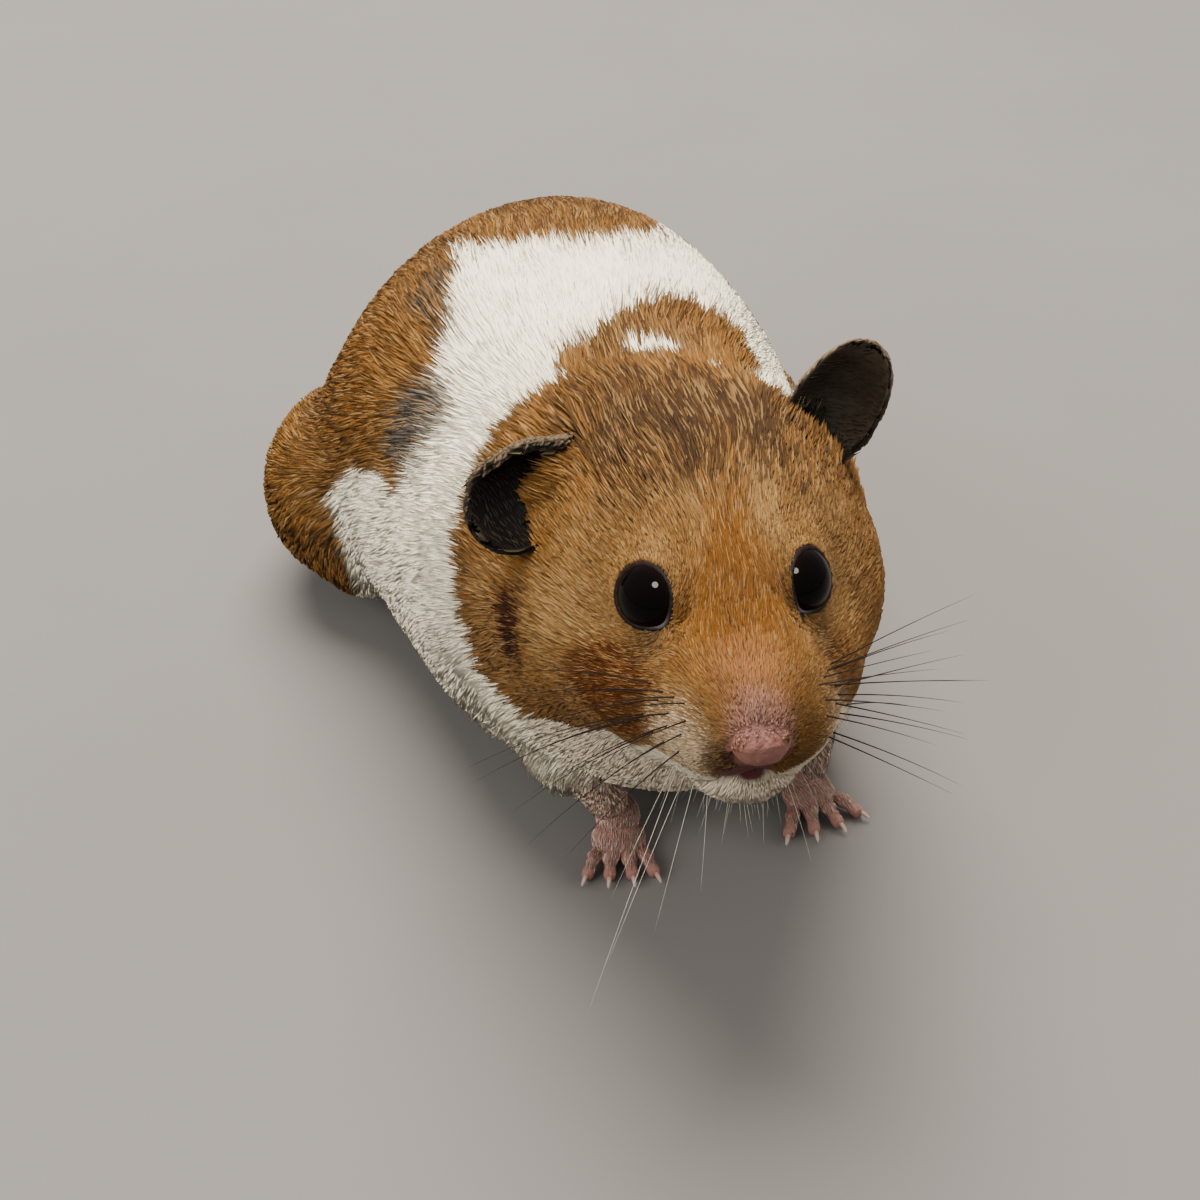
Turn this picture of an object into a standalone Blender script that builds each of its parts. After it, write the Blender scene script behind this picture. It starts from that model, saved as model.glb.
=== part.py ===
"""A Syrian hamster standing on all fours, life size, with its head raised.

Frame: +Z up, the soles on z = 0, the head toward -Y, the animal's left side
toward +X, the origin under the middle of the whole animal. Sizes are given in
millimetres, and MM turns them into metres. Every solid reaches out to the tips
of the coat. Head, neck and trunk are modelled as one body, a skin cast round a
spine over rounded masses that flow into each other, and are then parted by thin
cuts. Limbs, ears, eyes, nose, tail and claws are fitted to it with a narrow gap.
"""

import math
from dataclasses import dataclass

import bmesh
import bpy
import numpy as np
from mathutils import Euler, Matrix, Vector

MM = 0.001

# Narrow gap that every two neighbours keep
GAP = 0.3

# The spine bows to the animal's right, most of all at the loins
SWAY = 7.0
SWAY_CENTRE = 14.0
SWAY_REACH = 34.0

# Body skin: rays cast from the spine (y, z), and a fan of them round each end
SPINE = ((-53.0, 39.0), (-44.0, 40.0), (-34.0, 37.5), (-22.0, 32.0), (-8.0, 27.0), (12.0, 25.0), (33.0, 21.5))
SPINE_RINGS = 30
SEGMENTS = 32
FAN_RINGS = 6
RAY_STEP = 0.4
RAY_REACH = 48.0

# How softly the masses flow into each other
HEAD_FLOW = 1.3
TRUNK_FLOW = 3.2
NECK_FLOW = 3.0

# Head: placed by the point midway between the eyes, nose tipped up
HEAD_Y = -44.0
HEAD_Z = 42.5
HEAD_PITCH = 9.0

# Planes that part head from neck and neck from trunk: a point (y, z) and a lean
NECK_PLANES = ((-28.0, 38.0), (-16.0, 33.0))
NECK_LEAN = -38.0

# Eyes, in the head's frame
EYE_RADIUS = 3.3
EYE_PLACE = (5.9, 1.2, 0.9)
EYE_FACETS = (14, 9)

# Nose pad, in the head's frame
NOSE_PLACE = (0.0, 14.7, -5.3)
NOSE_RADII = (2.3, 1.9, 1.8)
NOSE_FACETS = (12, 8)

# Ears: share of the full width at the root, fullness of the flanks, how far the
# cup opens out toward the tip, and how far the leaf bows backward
EAR_ROWS = 8
EAR_COLUMNS = 8
EAR_THICKNESS = 0.8
EAR_ROOT_SHARE = 0.62
EAR_FLANK = 1.25
EAR_TIP_ROUNDING = 1.04
EAR_OPENING_OUT = 0.62
EAR_BOW = 1.1

# Limbs
LEG_VOXEL = 0.9
LEG_SMOOTHING = 6
LEG_TRIANGLES = 270
FOOT_VOXEL = 0.36
FOOT_SMOOTHING = 3
FOOT_TRIANGLES = 280
TOE_RADII = (0.85, 1.15, 0.95)
KNUCKLE_RISE = 0.15
TOE_BALLS = 4
TOE_START = 2.6
TOE_HEIGHT = 0.85
TOE_ARCH = 0.35
CLAW_LENGTH = 1.3
CLAW_RADIUS = 0.36
CLAW_SHARES = (0.0, 0.5, 1.0)
CLAW_TAPER = (1.0, 0.75, 0.25)
CLAW_RISE = 0.1
CLAW_DROP = 0.45
CLAW_SIDES = 5

# Tail: a short bare stub
TAIL_ROUTE = ((41.0, 14.6), (48.0, 11.2), (52.0, 8.8), (54.0, 7.4))
TAIL_RADII = (2.6, 2.0, 1.3, 0.8)
TAIL_SIDES = 12

# Half of the size of a helper block that has to reach past the whole animal
FAR = 99.0


@dataclass(frozen=True)
class Mass:
    """One rounded mass: an ellipsoid in millimetres, before it is blended."""

    centre: tuple
    radii: tuple
    turn: tuple = (0.0, 0.0, 0.0)
    paired: bool = False

    def frames(self):
        """Centre and lean of the mass, and of its mirror where it is paired."""
        for side in (1, -1) if self.paired else (1,):
            lean = Euler([math.radians(a) for a in self.turn]).to_matrix()
            if side < 0:
                flip = Matrix.Diagonal((-1, 1, 1))
                lean = flip @ lean @ flip
            x, y, z = self.centre
            yield Vector((side * x, y, z)), lean


# Trunk and neck, in the body's frame
TRUNK = (
    Mass((0, -8, 27), (21.5, 25, 20)),
    Mass((0, 11, 27), (25, 29, 20.5)),
    Mass((0, 30, 23), (20.5, 19.5, 17)),
    Mass((0, -25, 31), (16.5, 16, 16)),
    Mass((0, -32, 22), (12.5, 11.5, 11.5)),
    Mass((12, -18, 20), (10, 14, 14), paired=True),
    Mass((13, -2, 17), (11, 20, 11), paired=True),
    Mass((18, 16, 17), (12, 17, 13), paired=True),
)

# Head, in its own frame: x right, y forward, z up from the point between the eyes
HEAD = (
    Mass((0, -12, 0.5), (14.0, 15, 11.5)),
    Mass((9.5, -12, -6), (8.5, 12, 9.5), paired=True),
    Mass((6.0, -2, -7.5), (7.0, 10.5, 6.0), paired=True),
    Mass((0, 3.5, -5.0), (6.4, 11.4, 5.2)),
    Mass((0, 2.5, -2.0), (4.6, 11.8, 4.4), (-8, 0, 0)),
    Mass((0, -2, 1.6), (6.0, 9, 5.4)),
    Mass((3.3, 9.0, -6.9), (3.8, 4.6, 3.5), paired=True),
    Mass((0, 7.2, -10.2), (4.6, 5.4, 3.4)),
    Mass((0, -3, -11.5), (7.0, 9.5, 6.0)),
)


def clear_scene():
    """Removes whatever the scene holds."""
    for obj in list(bpy.data.objects):
        bpy.data.objects.remove(obj, do_unlink=True)


def new_object(name, mesh):
    """An object of this mesh, linked to the scene."""
    obj = bpy.data.objects.new(name, mesh)
    bpy.context.scene.collection.objects.link(obj)
    return obj


def sway(y):
    """Sideways shift of the spine at this distance along the body."""
    return -SWAY * np.exp(-(((y - SWAY_CENTRE) / SWAY_REACH) ** 2))


def head_matrix():
    """From the head's own frame to the body's, in millimetres."""
    turn = Matrix.Rotation(math.pi, 4, "Z") @ Matrix.Rotation(math.radians(HEAD_PITCH), 4, "X")
    return Matrix.Translation((0, HEAD_Y, HEAD_Z)) @ turn


def depths(points, masses, place):
    """How far each point lies outside each mass, roughly, in millimetres."""
    columns = []
    for mass in masses:
        radii = np.array(mass.radii)
        for centre, lean in mass.frames():
            middle = np.array(place @ centre)
            axes = np.array(place.to_3x3() @ lean)
            local = (points - middle) @ axes / radii
            reach = np.linalg.norm(local, axis=-1)
            slope = np.linalg.norm(local / radii, axis=-1)
            columns.append((reach - 1) * reach / np.maximum(slope, 1e-9))
    return columns


def blended(columns, flow):
    """A soft union: masses nearer than the flow melt into each other."""
    stack = np.stack(columns)
    low = stack.min(0)
    return low - flow * np.log(np.exp((low - stack) / flow).sum(0))


def body_depth(points):
    """How far each point lies outside the whole body before it is swayed."""
    head = blended(depths(points, HEAD, head_matrix()), HEAD_FLOW)
    trunk = blended(depths(points, TRUNK, Matrix.Identity(4)), TRUNK_FLOW)
    return blended([head, trunk], NECK_FLOW)


def smooth_path(knots, count):
    """Evenly read points of a smooth curve through the knots (y, z)."""
    knots = np.array(knots)
    padded = np.vstack([2 * knots[0] - knots[1], knots, 2 * knots[-1] - knots[-2]])
    at = np.linspace(0, len(knots) - 1, count)
    index = np.minimum(at.astype(int), len(knots) - 2)
    t = (at - index)[:, None]
    a, b, c, d = (padded[index + k] for k in range(4))
    return 0.5 * (2 * b + (c - a) * t + (2 * a - 5 * b + 4 * c - d) * t**2 + (3 * b - a - 3 * c + d) * t**3)


def in_outward_triangles(mesh):
    """Splits the mesh's faces into triangles that all face outward."""
    shape = bmesh.new()
    shape.from_mesh(mesh)
    bmesh.ops.recalc_face_normals(shape, faces=shape.faces)
    bmesh.ops.triangulate(shape, faces=shape.faces)
    shape.to_mesh(mesh)
    shape.free()


def rays():
    """Start and direction of each ring's rays, and of the ray at each end."""
    path = smooth_path(SPINE, SPINE_RINGS)
    ahead = np.gradient(path, axis=0)
    ahead /= np.linalg.norm(ahead, axis=1)[:, None]
    quarter = np.linspace(0, math.pi / 2, FAN_RINGS + 1)
    rings = [(path[0], ahead[0], math.cos(a), math.sin(a), -1) for a in quarter[1:-1]]
    rings += [(p, t, 0.0, 1.0, -1) for p, t in zip(path, ahead, strict=True)]
    rings += [(path[-1], ahead[-1], math.cos(a), math.sin(a), 1) for a in quarter[-2:0:-1]]
    starts, ways = [], []
    for at, along, share, out, sense in rings:
        for k in range(SEGMENTS):
            turn = 2 * math.pi * (k + 0.5) / SEGMENTS
            side, rise = math.sin(turn), math.cos(turn)
            tangent = np.array([0, along[0], along[1]])
            normal = np.array([0, -along[1], along[0]])
            way = out * (side * np.array([1.0, 0, 0]) + rise * normal) + sense * share * tangent
            starts.append([0, *at])
            ways.append(way)
    for at, along, sense in ((path[0], ahead[0], -1), (path[-1], ahead[-1], 1)):
        starts.append([0, *at])
        ways.append([0, sense * along[0], sense * along[1]])
    return np.array(starts, float), np.array(ways, float), len(rings)


def first_way_out(starts, ways):
    """Where each ray first leaves the body."""
    reach = np.arange(0, RAY_REACH, RAY_STEP)
    points = starts[:, None] + reach[None, :, None] * ways[:, None]
    depth = body_depth(points)
    first = np.argmax(depth > 0, axis=1)
    rows = np.arange(len(starts))
    inner, outer = depth[rows, first - 1], depth[rows, first]
    distance = reach[first - 1] + RAY_STEP * inner / (inner - outer)
    return starts + distance[:, None] * ways


def body():
    """Head, neck and trunk as one closed skin of rings."""
    starts, ways, count = rays()
    points = first_way_out(starts, ways)
    points[:, 0] += sway(points[:, 1])
    faces = []
    for ring in range(count - 1):
        for k in range(SEGMENTS):
            after = (k + 1) % SEGMENTS
            a, b = ring * SEGMENTS, (ring + 1) * SEGMENTS
            faces.append((a + k, a + after, b + after, b + k))
    front, rear, last = len(points) - 2, len(points) - 1, (count - 1) * SEGMENTS
    for k in range(SEGMENTS):
        after = (k + 1) % SEGMENTS
        faces.append((front, after, k))
        faces.append((rear, last + k, last + after))
    mesh = bpy.data.meshes.new("body")
    mesh.from_pydata((points * MM).tolist(), [], faces)
    in_outward_triangles(mesh)
    return new_object("body", mesh)


@dataclass(frozen=True)
class Ear:
    """A thin cupped ear: where it grows, where its tip is, and which way it opens."""

    side: str
    base: tuple
    tip: tuple
    opening: tuple
    half_width: float
    cup: float


EARS = (
    Ear("left", (11.9, -27.7, 45.3), (17.2, -26.8, 54.6), (-0.42, -0.80, 0.44), 4.4, 150.0),
    Ear("right", (-11.2, -30.8, 46.0), (-20.0, -34.8, 45.0), (-0.22, -0.80, 0.56), 5.6, 160.0),
)


@dataclass(frozen=True)
class Foot:
    """A foot on the floor: where its wrist or ankle is, which way it points, its toes."""

    name: str
    place: tuple
    heading: float
    pads: tuple
    toes: tuple
    toe_length: float


# Rounded masses of a forepaw and a hind foot, in the foot's frame: y to the toes
PAW_PADS = (
    Mass((0, -1.0, 2.6), (2.5, 2.6, 2.6)),
    Mass((0, 1.2, 1.6), (3.0, 2.7, 1.9)),
)
HIND_PADS = (
    Mass((0, -7.0, 2.2), (2.3, 3.6, 2.4)),
    Mass((0, -3.0, 1.9), (2.5, 4.8, 2.0)),
    Mass((0, 1.2, 1.6), (3.2, 3.0, 1.8)),
)
# Toes: sideways place at the knuckle and the angle at which each one splays
PAW_TOES = ((-2.1, -26.0), (-0.75, -8.0), (0.75, 8.0), (2.1, 26.0))
SPLAYED_TOES = ((-2.2, -34.0), (-0.8, -10.0), (0.8, 12.0), (2.2, 38.0))
HIND_TOES = ((-2.4, -30.0), (-1.25, -12.0), (0.0, 0.0), (1.25, 12.0), (2.4, 30.0))

FEET = (
    Foot("forepaw_right", (-7.2, -33.5), 6.0, PAW_PADS, PAW_TOES, 2.7),
    Foot("forepaw_left", (13.8, -30.2), -14.0, PAW_PADS, SPLAYED_TOES, 2.9),
    Foot("hindfoot_right", (-16.0, 15.0), 8.0, HIND_PADS, HIND_TOES, 3.6),
    Foot("hindfoot_left", (17.0, 10.0), -12.0, HIND_PADS, HIND_TOES, 3.6),
)

LEGS = {
    "hindleg_right": (
        Mass((-25.2, 18.5, 13.2), (11.4, 15.5, 12.0)),
        Mass((-24.0, 10, 9.2), (7.2, 7.4, 6.8)),
        Mass((-17, 20, 5.5), (5.0, 8.0, 4.5)),
    ),
    "hindleg_left": (
        Mass((22.5, 17, 13.6), (11.5, 16.0, 12.6)),
        Mass((22.0, 7, 9.5), (7.2, 8.0, 7.2)),
        Mass((18, 16, 5.5), (5.0, 8.0, 4.5)),
    ),
    "foreleg_right": (
        Mass((-13.5, -20, 13), (7.5, 9.5, 9.5)),
        Mass((-12.0, -26, 8.8), (5.2, 5.5, 5.0)),
        Mass((-9.2, -30.0, 6.6), (4.1, 4.5, 3.9)),
        Mass((-7.7, -32.8, 4.8), (3.2, 3.2, 3.1)),
    ),
    "foreleg_left": (
        Mass((14.0, -19, 13), (7.5, 9.5, 9.5)),
        Mass((14.4, -24, 8.8), (5.2, 5.5, 5.0)),
        Mass((14.4, -27.4, 6.6), (4.1, 4.3, 3.9)),
        Mass((14.6, -29.8, 4.8), (3.5, 3.2, 3.1)),
    ),
}

# Finishes: a base colour and a roughness
FINISHES = {
    "golden_coat": ((0.50, 0.24, 0.07), 0.80),
    "white_coat": ((0.78, 0.74, 0.66), 0.80),
    "pink_skin": ((0.66, 0.36, 0.32), 0.55),
    "ear_skin": ((0.16, 0.12, 0.10), 0.65),
    "eye": ((0.01, 0.008, 0.008), 0.08),
    "claw": ((0.70, 0.60, 0.52), 0.40),
}

# The finish of each kind of piece, by the first word of its name
FINISH_OF = {
    "head": "golden_coat",
    "neck": "golden_coat",
    "trunk": "white_coat",
    "hindleg": "golden_coat",
    "foreleg": "white_coat",
    "forepaw": "pink_skin",
    "hindfoot": "pink_skin",
    "nose": "pink_skin",
    "tail": "pink_skin",
    "ear": "ear_skin",
    "eye": "eye",
    "claw": "claw",
}


def dress(obj):
    """Gives a piece the material of its kind, and smooth shading."""
    name = FINISH_OF[obj.name.split("_")[0]]
    colour, roughness = FINISHES[name]
    made = bpy.data.materials.get(name) or bpy.data.materials.new(name)
    made.use_nodes = True
    shader = made.node_tree.nodes["Principled BSDF"]
    shader.inputs["Base Color"].default_value = (*colour, 1)
    shader.inputs["Roughness"].default_value = roughness
    shader.inputs["Metallic"].default_value = 0.0
    obj.data.materials.clear()
    obj.data.materials.append(made)
    obj.data.shade_smooth()


def settle(obj):
    """Turns the object's modifiers into its own mesh."""
    graph = bpy.context.evaluated_depsgraph_get()
    mesh = bpy.data.meshes.new_from_object(obj.evaluated_get(graph))
    obj.modifiers.clear()
    obj.data = mesh
    return obj


def clay(name, matrices, voxel, smoothing, triangles):
    """Ellipsoids blended into one closed body of about this many triangles."""
    shape = bmesh.new()
    for matrix in matrices:
        bmesh.ops.create_icosphere(shape, subdivisions=4, radius=1, matrix=matrix)
    mesh = bpy.data.meshes.new(name)
    shape.to_mesh(mesh)
    shape.free()
    obj = new_object(name, mesh)
    remesh = obj.modifiers.new("Blend", "REMESH")
    remesh.mode = "VOXEL"
    remesh.voxel_size = voxel * MM
    smooth = obj.modifiers.new("Smooth", "SMOOTH")
    smooth.factor = 0.5
    smooth.iterations = smoothing
    settle(obj)
    thin = obj.modifiers.new("Thin", "DECIMATE")
    thin.ratio = min(1.0, triangles / (2 * len(obj.data.polygons)))
    return settle(obj)


def ellipsoid_matrices(masses, place=None):
    """Matrices, in metres, that stretch a unit ball to each mass."""
    place = place or Matrix.Identity(4)
    for mass in masses:
        for centre, lean in mass.frames():
            stretch = Matrix.Diagonal((*(r * MM for r in mass.radii), 1))
            turned = place.to_3x3().to_4x4() @ lean.to_4x4()
            yield Matrix.Translation((place @ centre) * MM) @ turned @ stretch


def swollen(obj):
    """A helper copy of the object in triangles, its surface moved out by the gap."""
    copy = new_object(obj.name + ".swollen", obj.data.copy())
    shape = bmesh.new()
    shape.from_mesh(copy.data)
    shape.normal_update()
    for vertex, normal in [(v, v.normal.copy()) for v in shape.verts]:
        vertex.co += normal * GAP * MM
    bmesh.ops.triangulate(shape, faces=shape.faces)
    shape.to_mesh(copy.data)
    shape.free()
    return copy


def boolean(obj, other, operation):
    """Cuts, joins or intersects the object with another one, which is then removed."""
    modifier = obj.modifiers.new("Cut", "BOOLEAN")
    modifier.operation = operation
    modifier.solver = "EXACT"
    modifier.object = other
    settle(obj)
    bpy.data.objects.remove(other, do_unlink=True)
    return obj


def block(low, high, place=None):
    """A helper box between two corners, in millimetres, in a frame of its own."""
    shape = bmesh.new()
    bmesh.ops.create_cube(shape, size=1)
    middle = (Vector(low) + Vector(high)) / 2
    size = Vector(high) - Vector(low)
    for vertex in shape.verts:
        local = Vector((vertex.co.x * size.x, vertex.co.y * size.y, vertex.co.z * size.z)) + middle
        vertex.co = ((place or Matrix.Identity(4)) @ local) * MM
    mesh = bpy.data.meshes.new("block")
    shape.to_mesh(mesh)
    shape.free()
    return new_object("block", mesh)


def below_floor():
    """A helper block with its top on the floor."""
    return block((-FAR, -FAR, -FAR), (FAR, FAR, 0))


def leg(name, masses):
    """A leg in its coat, bowed with the spine where it is a hind leg."""
    obj = clay(name, ellipsoid_matrices(masses), LEG_VOXEL, LEG_SMOOTHING, LEG_TRIANGLES)
    if name.startswith("hind"):
        for vertex in obj.data.vertices:
            vertex.co.x += float(sway(vertex.co.y / MM)) * MM
    return obj


def foot_frame(foot):
    """From the foot's own frame (y to the toes) to the body's."""
    x, y = foot.place
    if foot.name.startswith("hind"):
        x += float(sway(y))
    return Matrix.Translation((x, y, 0)) @ Matrix.Rotation(math.radians(180 - foot.heading), 4, "Z")


def toe_heading(splay):
    """The way a toe points, in the foot's frame."""
    return Vector((math.sin(math.radians(splay)), math.cos(math.radians(splay)), 0))


def toe_line(foot, knuckle, splay, share):
    """A point along a toe, in the foot's frame, from its knuckle to its tip."""
    reach = share * foot.toe_length
    arch = TOE_ARCH * math.sin(math.pi * share)
    return Vector((knuckle, TOE_START, TOE_HEIGHT + arch)) + toe_heading(splay) * reach


def foot_solid(foot):
    """Pads and toes as one body, cut flat where it stands on the floor."""
    place = foot_frame(foot)
    masses = list(foot.pads)
    for knuckle, splay in foot.toes:
        for step in range(TOE_BALLS):
            centre = toe_line(foot, knuckle, splay, step / (TOE_BALLS - 1))
            wide, long, high = TOE_RADII
            radii = (wide, long, high if step else high + KNUCKLE_RISE)
            masses.append(Mass(tuple(centre), radii, (0, 0, -splay)))
    obj = clay(foot.name, ellipsoid_matrices(masses, place), FOOT_VOXEL, FOOT_SMOOTHING, FOOT_TRIANGLES)
    return boolean(obj, below_floor(), "DIFFERENCE")


def cone_tube(name, points, radii, sides):
    """A closed tube of round rings along these points, in millimetres."""
    shape = bmesh.new()
    rings = []
    points = [Vector(p) for p in points]
    for i, (point, radius) in enumerate(zip(points, radii, strict=True)):
        ahead = (points[min(i + 1, len(points) - 1)] - points[max(i - 1, 0)]).normalized()
        across = ahead.cross(Vector((0, 0, 1))).normalized()
        up = across.cross(ahead)
        ring = []
        for k in range(sides):
            turn = 2 * math.pi * k / sides
            offset = (across * math.cos(turn) + up * math.sin(turn)) * radius
            ring.append(shape.verts.new((point + offset) * MM))
        rings.append(ring)
    for near, far in zip(rings, rings[1:], strict=False):
        for k in range(sides):
            shape.faces.new((near[k], near[(k + 1) % sides], far[(k + 1) % sides], far[k]))
    shape.faces.new(rings[0][::-1])
    shape.faces.new(rings[-1])
    bmesh.ops.recalc_face_normals(shape, faces=shape.faces)
    mesh = bpy.data.meshes.new(name)
    shape.to_mesh(mesh)
    shape.free()
    return new_object(name, mesh)


def claws(foot):
    """A short curved claw before the tip of each toe."""
    place = foot_frame(foot)
    for number, (knuckle, splay) in enumerate(foot.toes, 1):
        ahead = toe_heading(splay)
        start = toe_line(foot, knuckle, splay, 1.0) + ahead * (TOE_RADII[1] + GAP)
        points = []
        for share in CLAW_SHARES:
            rise = Vector((0, 0, CLAW_RISE - CLAW_DROP * share * share))
            points.append(place @ (start + ahead * CLAW_LENGTH * share + rise))
        radii = [CLAW_RADIUS * taper for taper in CLAW_TAPER]
        cone_tube(f"claw_{foot.name}_{number}", points, radii, CLAW_SIDES)


def tail():
    """A short stub of a tail under the rump."""
    points = [(float(sway(y)), y, z) for y, z in TAIL_ROUTE]
    return cone_tube("tail", points, TAIL_RADII, TAIL_SIDES)


def ball(name, place, radii, facets):
    """An ellipsoid placed in the head's frame, with this many faces round it and down it."""
    centre = head_matrix() @ Vector(place)
    centre.x += float(sway(centre.y))
    matrix = Matrix.Translation(centre * MM) @ head_matrix().to_3x3().to_4x4()
    matrix = matrix @ Matrix.Diagonal((*(r * MM for r in radii), 1))
    shape = bmesh.new()
    bmesh.ops.create_uvsphere(shape, u_segments=facets[0], v_segments=facets[1], radius=1, matrix=matrix)
    mesh = bpy.data.meshes.new(name)
    shape.to_mesh(mesh)
    shape.free()
    return new_object(name, mesh)


def eyes():
    """Both eyeballs."""
    x, y, z = EYE_PLACE
    sides = (("eye_left", -x), ("eye_right", x))
    return [ball(name, (across, y, z), [EYE_RADIUS] * 3, EYE_FACETS) for name, across in sides]


def ear_row(shape, u):
    """One row of the ear's points, this share of the way from its root to its tip."""
    base, tip = Vector(shape.base), Vector(shape.tip)
    along = (tip - base).normalized()
    across = along.cross(Vector(shape.opening)).normalized()
    facing = across.cross(along).normalized()
    flank = math.sin(math.pi * min(1, EAR_FLANK * u))
    half = shape.half_width * (EAR_ROOT_SHARE + (1 - EAR_ROOT_SHARE) * flank)
    half *= math.sqrt(EAR_TIP_ROUNDING - u**5)
    spread = math.radians(shape.cup) * (1 - EAR_OPENING_OUT * u)
    radius = 2 * half / spread
    middle = base.lerp(tip, u) - facing * EAR_BOW * math.sin(math.pi * u)
    points = []
    for column in range(EAR_COLUMNS):
        turn = (column / (EAR_COLUMNS - 1) - 0.5) * spread
        offset = across * math.sin(turn) + facing * (1 - math.cos(turn))
        points.append((middle + offset * radius) * MM)
    return points


def ear(shape):
    """A thin leaf, rolled like a cup at its root and opening toward its tip."""
    points = []
    for row in range(EAR_ROWS):
        points += ear_row(shape, row / (EAR_ROWS - 1))
    faces = []
    for row in range(EAR_ROWS - 1):
        for column in range(EAR_COLUMNS - 1):
            a = row * EAR_COLUMNS + column
            faces.append((a, a + 1, a + EAR_COLUMNS + 1, a + EAR_COLUMNS))
    name = "ear_" + shape.side
    mesh = bpy.data.meshes.new(name)
    mesh.from_pydata(points, [], faces)
    obj = new_object(name, mesh)
    thick = obj.modifiers.new("Thick", "SOLIDIFY")
    thick.thickness = EAR_THICKNESS * MM
    thick.offset = 0.0
    settle(obj)
    in_outward_triangles(obj.data)
    return obj


def part_body(whole):
    """Parts the whole body into head, neck and trunk by two thin slanting cuts."""
    lean = Matrix.Rotation(math.radians(NECK_LEAN), 4, "X")
    head_at, trunk_at = (Matrix.Translation((0, y, z)) @ lean for y, z in NECK_PLANES)
    apart = (head_at.inverted() @ trunk_at.translation).y
    half = GAP / 2
    cuts = {
        "head": ((-FAR, -FAR, -FAR), (FAR, -half, FAR), head_at),
        "neck": ((-FAR, half, -FAR), (FAR, apart - half, FAR), head_at),
        "trunk": ((-FAR, half, -FAR), (FAR, FAR, FAR), trunk_at),
    }
    for name, (low, high, place) in cuts.items():
        boolean(new_object(name, whole.data.copy()), block(low, high, place), "INTERSECT")
    bpy.data.objects.remove(whole, do_unlink=True)


def centre_on_floor():
    """Shifts every piece, so that the origin is under the middle of them all."""
    corners = np.array([corner for obj in bpy.data.objects for corner in obj.bound_box])
    low, high = corners.min(0), corners.max(0)
    shift = Matrix.Translation((-(low[0] + high[0]) / 2, -(low[1] + high[1]) / 2, -low[2]))
    for obj in bpy.data.objects:
        obj.data.transform(shift)


def main():
    clear_scene()
    whole = body()
    feet = {foot.name: foot_solid(foot) for foot in FEET}
    legs = {name: leg(name, masses) for name, masses in LEGS.items()}
    for foot in FEET:
        claws(foot)
    for shape in EARS:
        boolean(ear(shape), swollen(whole), "DIFFERENCE")
    boolean(tail(), swollen(whole), "DIFFERENCE")
    nose = ball("nose", NOSE_PLACE, NOSE_RADII, NOSE_FACETS)
    for piece in (*feet.values(), *legs.values(), *eyes(), nose):
        boolean(whole, swollen(piece), "DIFFERENCE")
    for name, obj in legs.items():
        foot = feet[name.replace("foreleg", "forepaw").replace("hindleg", "hindfoot")]
        boolean(obj, swollen(foot), "DIFFERENCE")
    part_body(whole)
    for obj in bpy.data.objects:
        dress(obj)
    centre_on_floor()


main()
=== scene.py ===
"""The looks of a life-size Syrian hamster: skin, coat, eyes, claws, whiskers and studio.

Everything is worked out in millimetres in the row frame, with the head toward -Y, the
animal's left side toward +X and the soles on z = 0, and is turned into metres where a
mesh is made.
"""

import logging
import math
from collections.abc import Sequence
from dataclasses import dataclass, field
from enum import Enum

import bmesh
import bpy
import numpy as np
from mathutils import Euler, Matrix, Vector
from mathutils.bvhtree import BVHTree
from mathutils.kdtree import KDTree
from numpy.typing import NDArray

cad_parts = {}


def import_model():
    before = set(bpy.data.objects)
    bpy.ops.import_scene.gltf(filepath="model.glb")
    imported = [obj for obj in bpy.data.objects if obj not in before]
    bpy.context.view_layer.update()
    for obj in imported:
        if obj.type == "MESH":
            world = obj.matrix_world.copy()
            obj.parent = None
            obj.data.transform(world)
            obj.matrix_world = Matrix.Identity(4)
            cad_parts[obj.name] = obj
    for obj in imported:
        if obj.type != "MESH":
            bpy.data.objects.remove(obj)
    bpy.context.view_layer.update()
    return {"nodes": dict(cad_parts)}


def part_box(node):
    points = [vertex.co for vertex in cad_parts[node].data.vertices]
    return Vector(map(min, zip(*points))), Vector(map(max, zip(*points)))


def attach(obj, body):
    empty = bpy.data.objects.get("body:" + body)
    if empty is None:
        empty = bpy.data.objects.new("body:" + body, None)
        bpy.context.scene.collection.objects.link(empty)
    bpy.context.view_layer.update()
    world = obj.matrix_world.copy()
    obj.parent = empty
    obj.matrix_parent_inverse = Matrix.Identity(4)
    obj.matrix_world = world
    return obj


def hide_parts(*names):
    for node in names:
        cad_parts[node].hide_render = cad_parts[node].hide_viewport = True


log = logging.getLogger("hamster")

Array = NDArray[np.float64]
Point = tuple[float, float, float]
Material = bpy.types.Material
Mesh = bpy.types.Mesh
Object = bpy.types.Object

MM = 0.001
BODY = "root"
BAKE_MAP = "OFBake"


class Slot(Enum):
    """Material slots of the record that pieces take their finish from."""

    GOLD = "golden_coat"
    WHITE = "white_coat"
    PINK = "pink_skin"
    EYE = "eye"
    CLAW = "claw"


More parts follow.
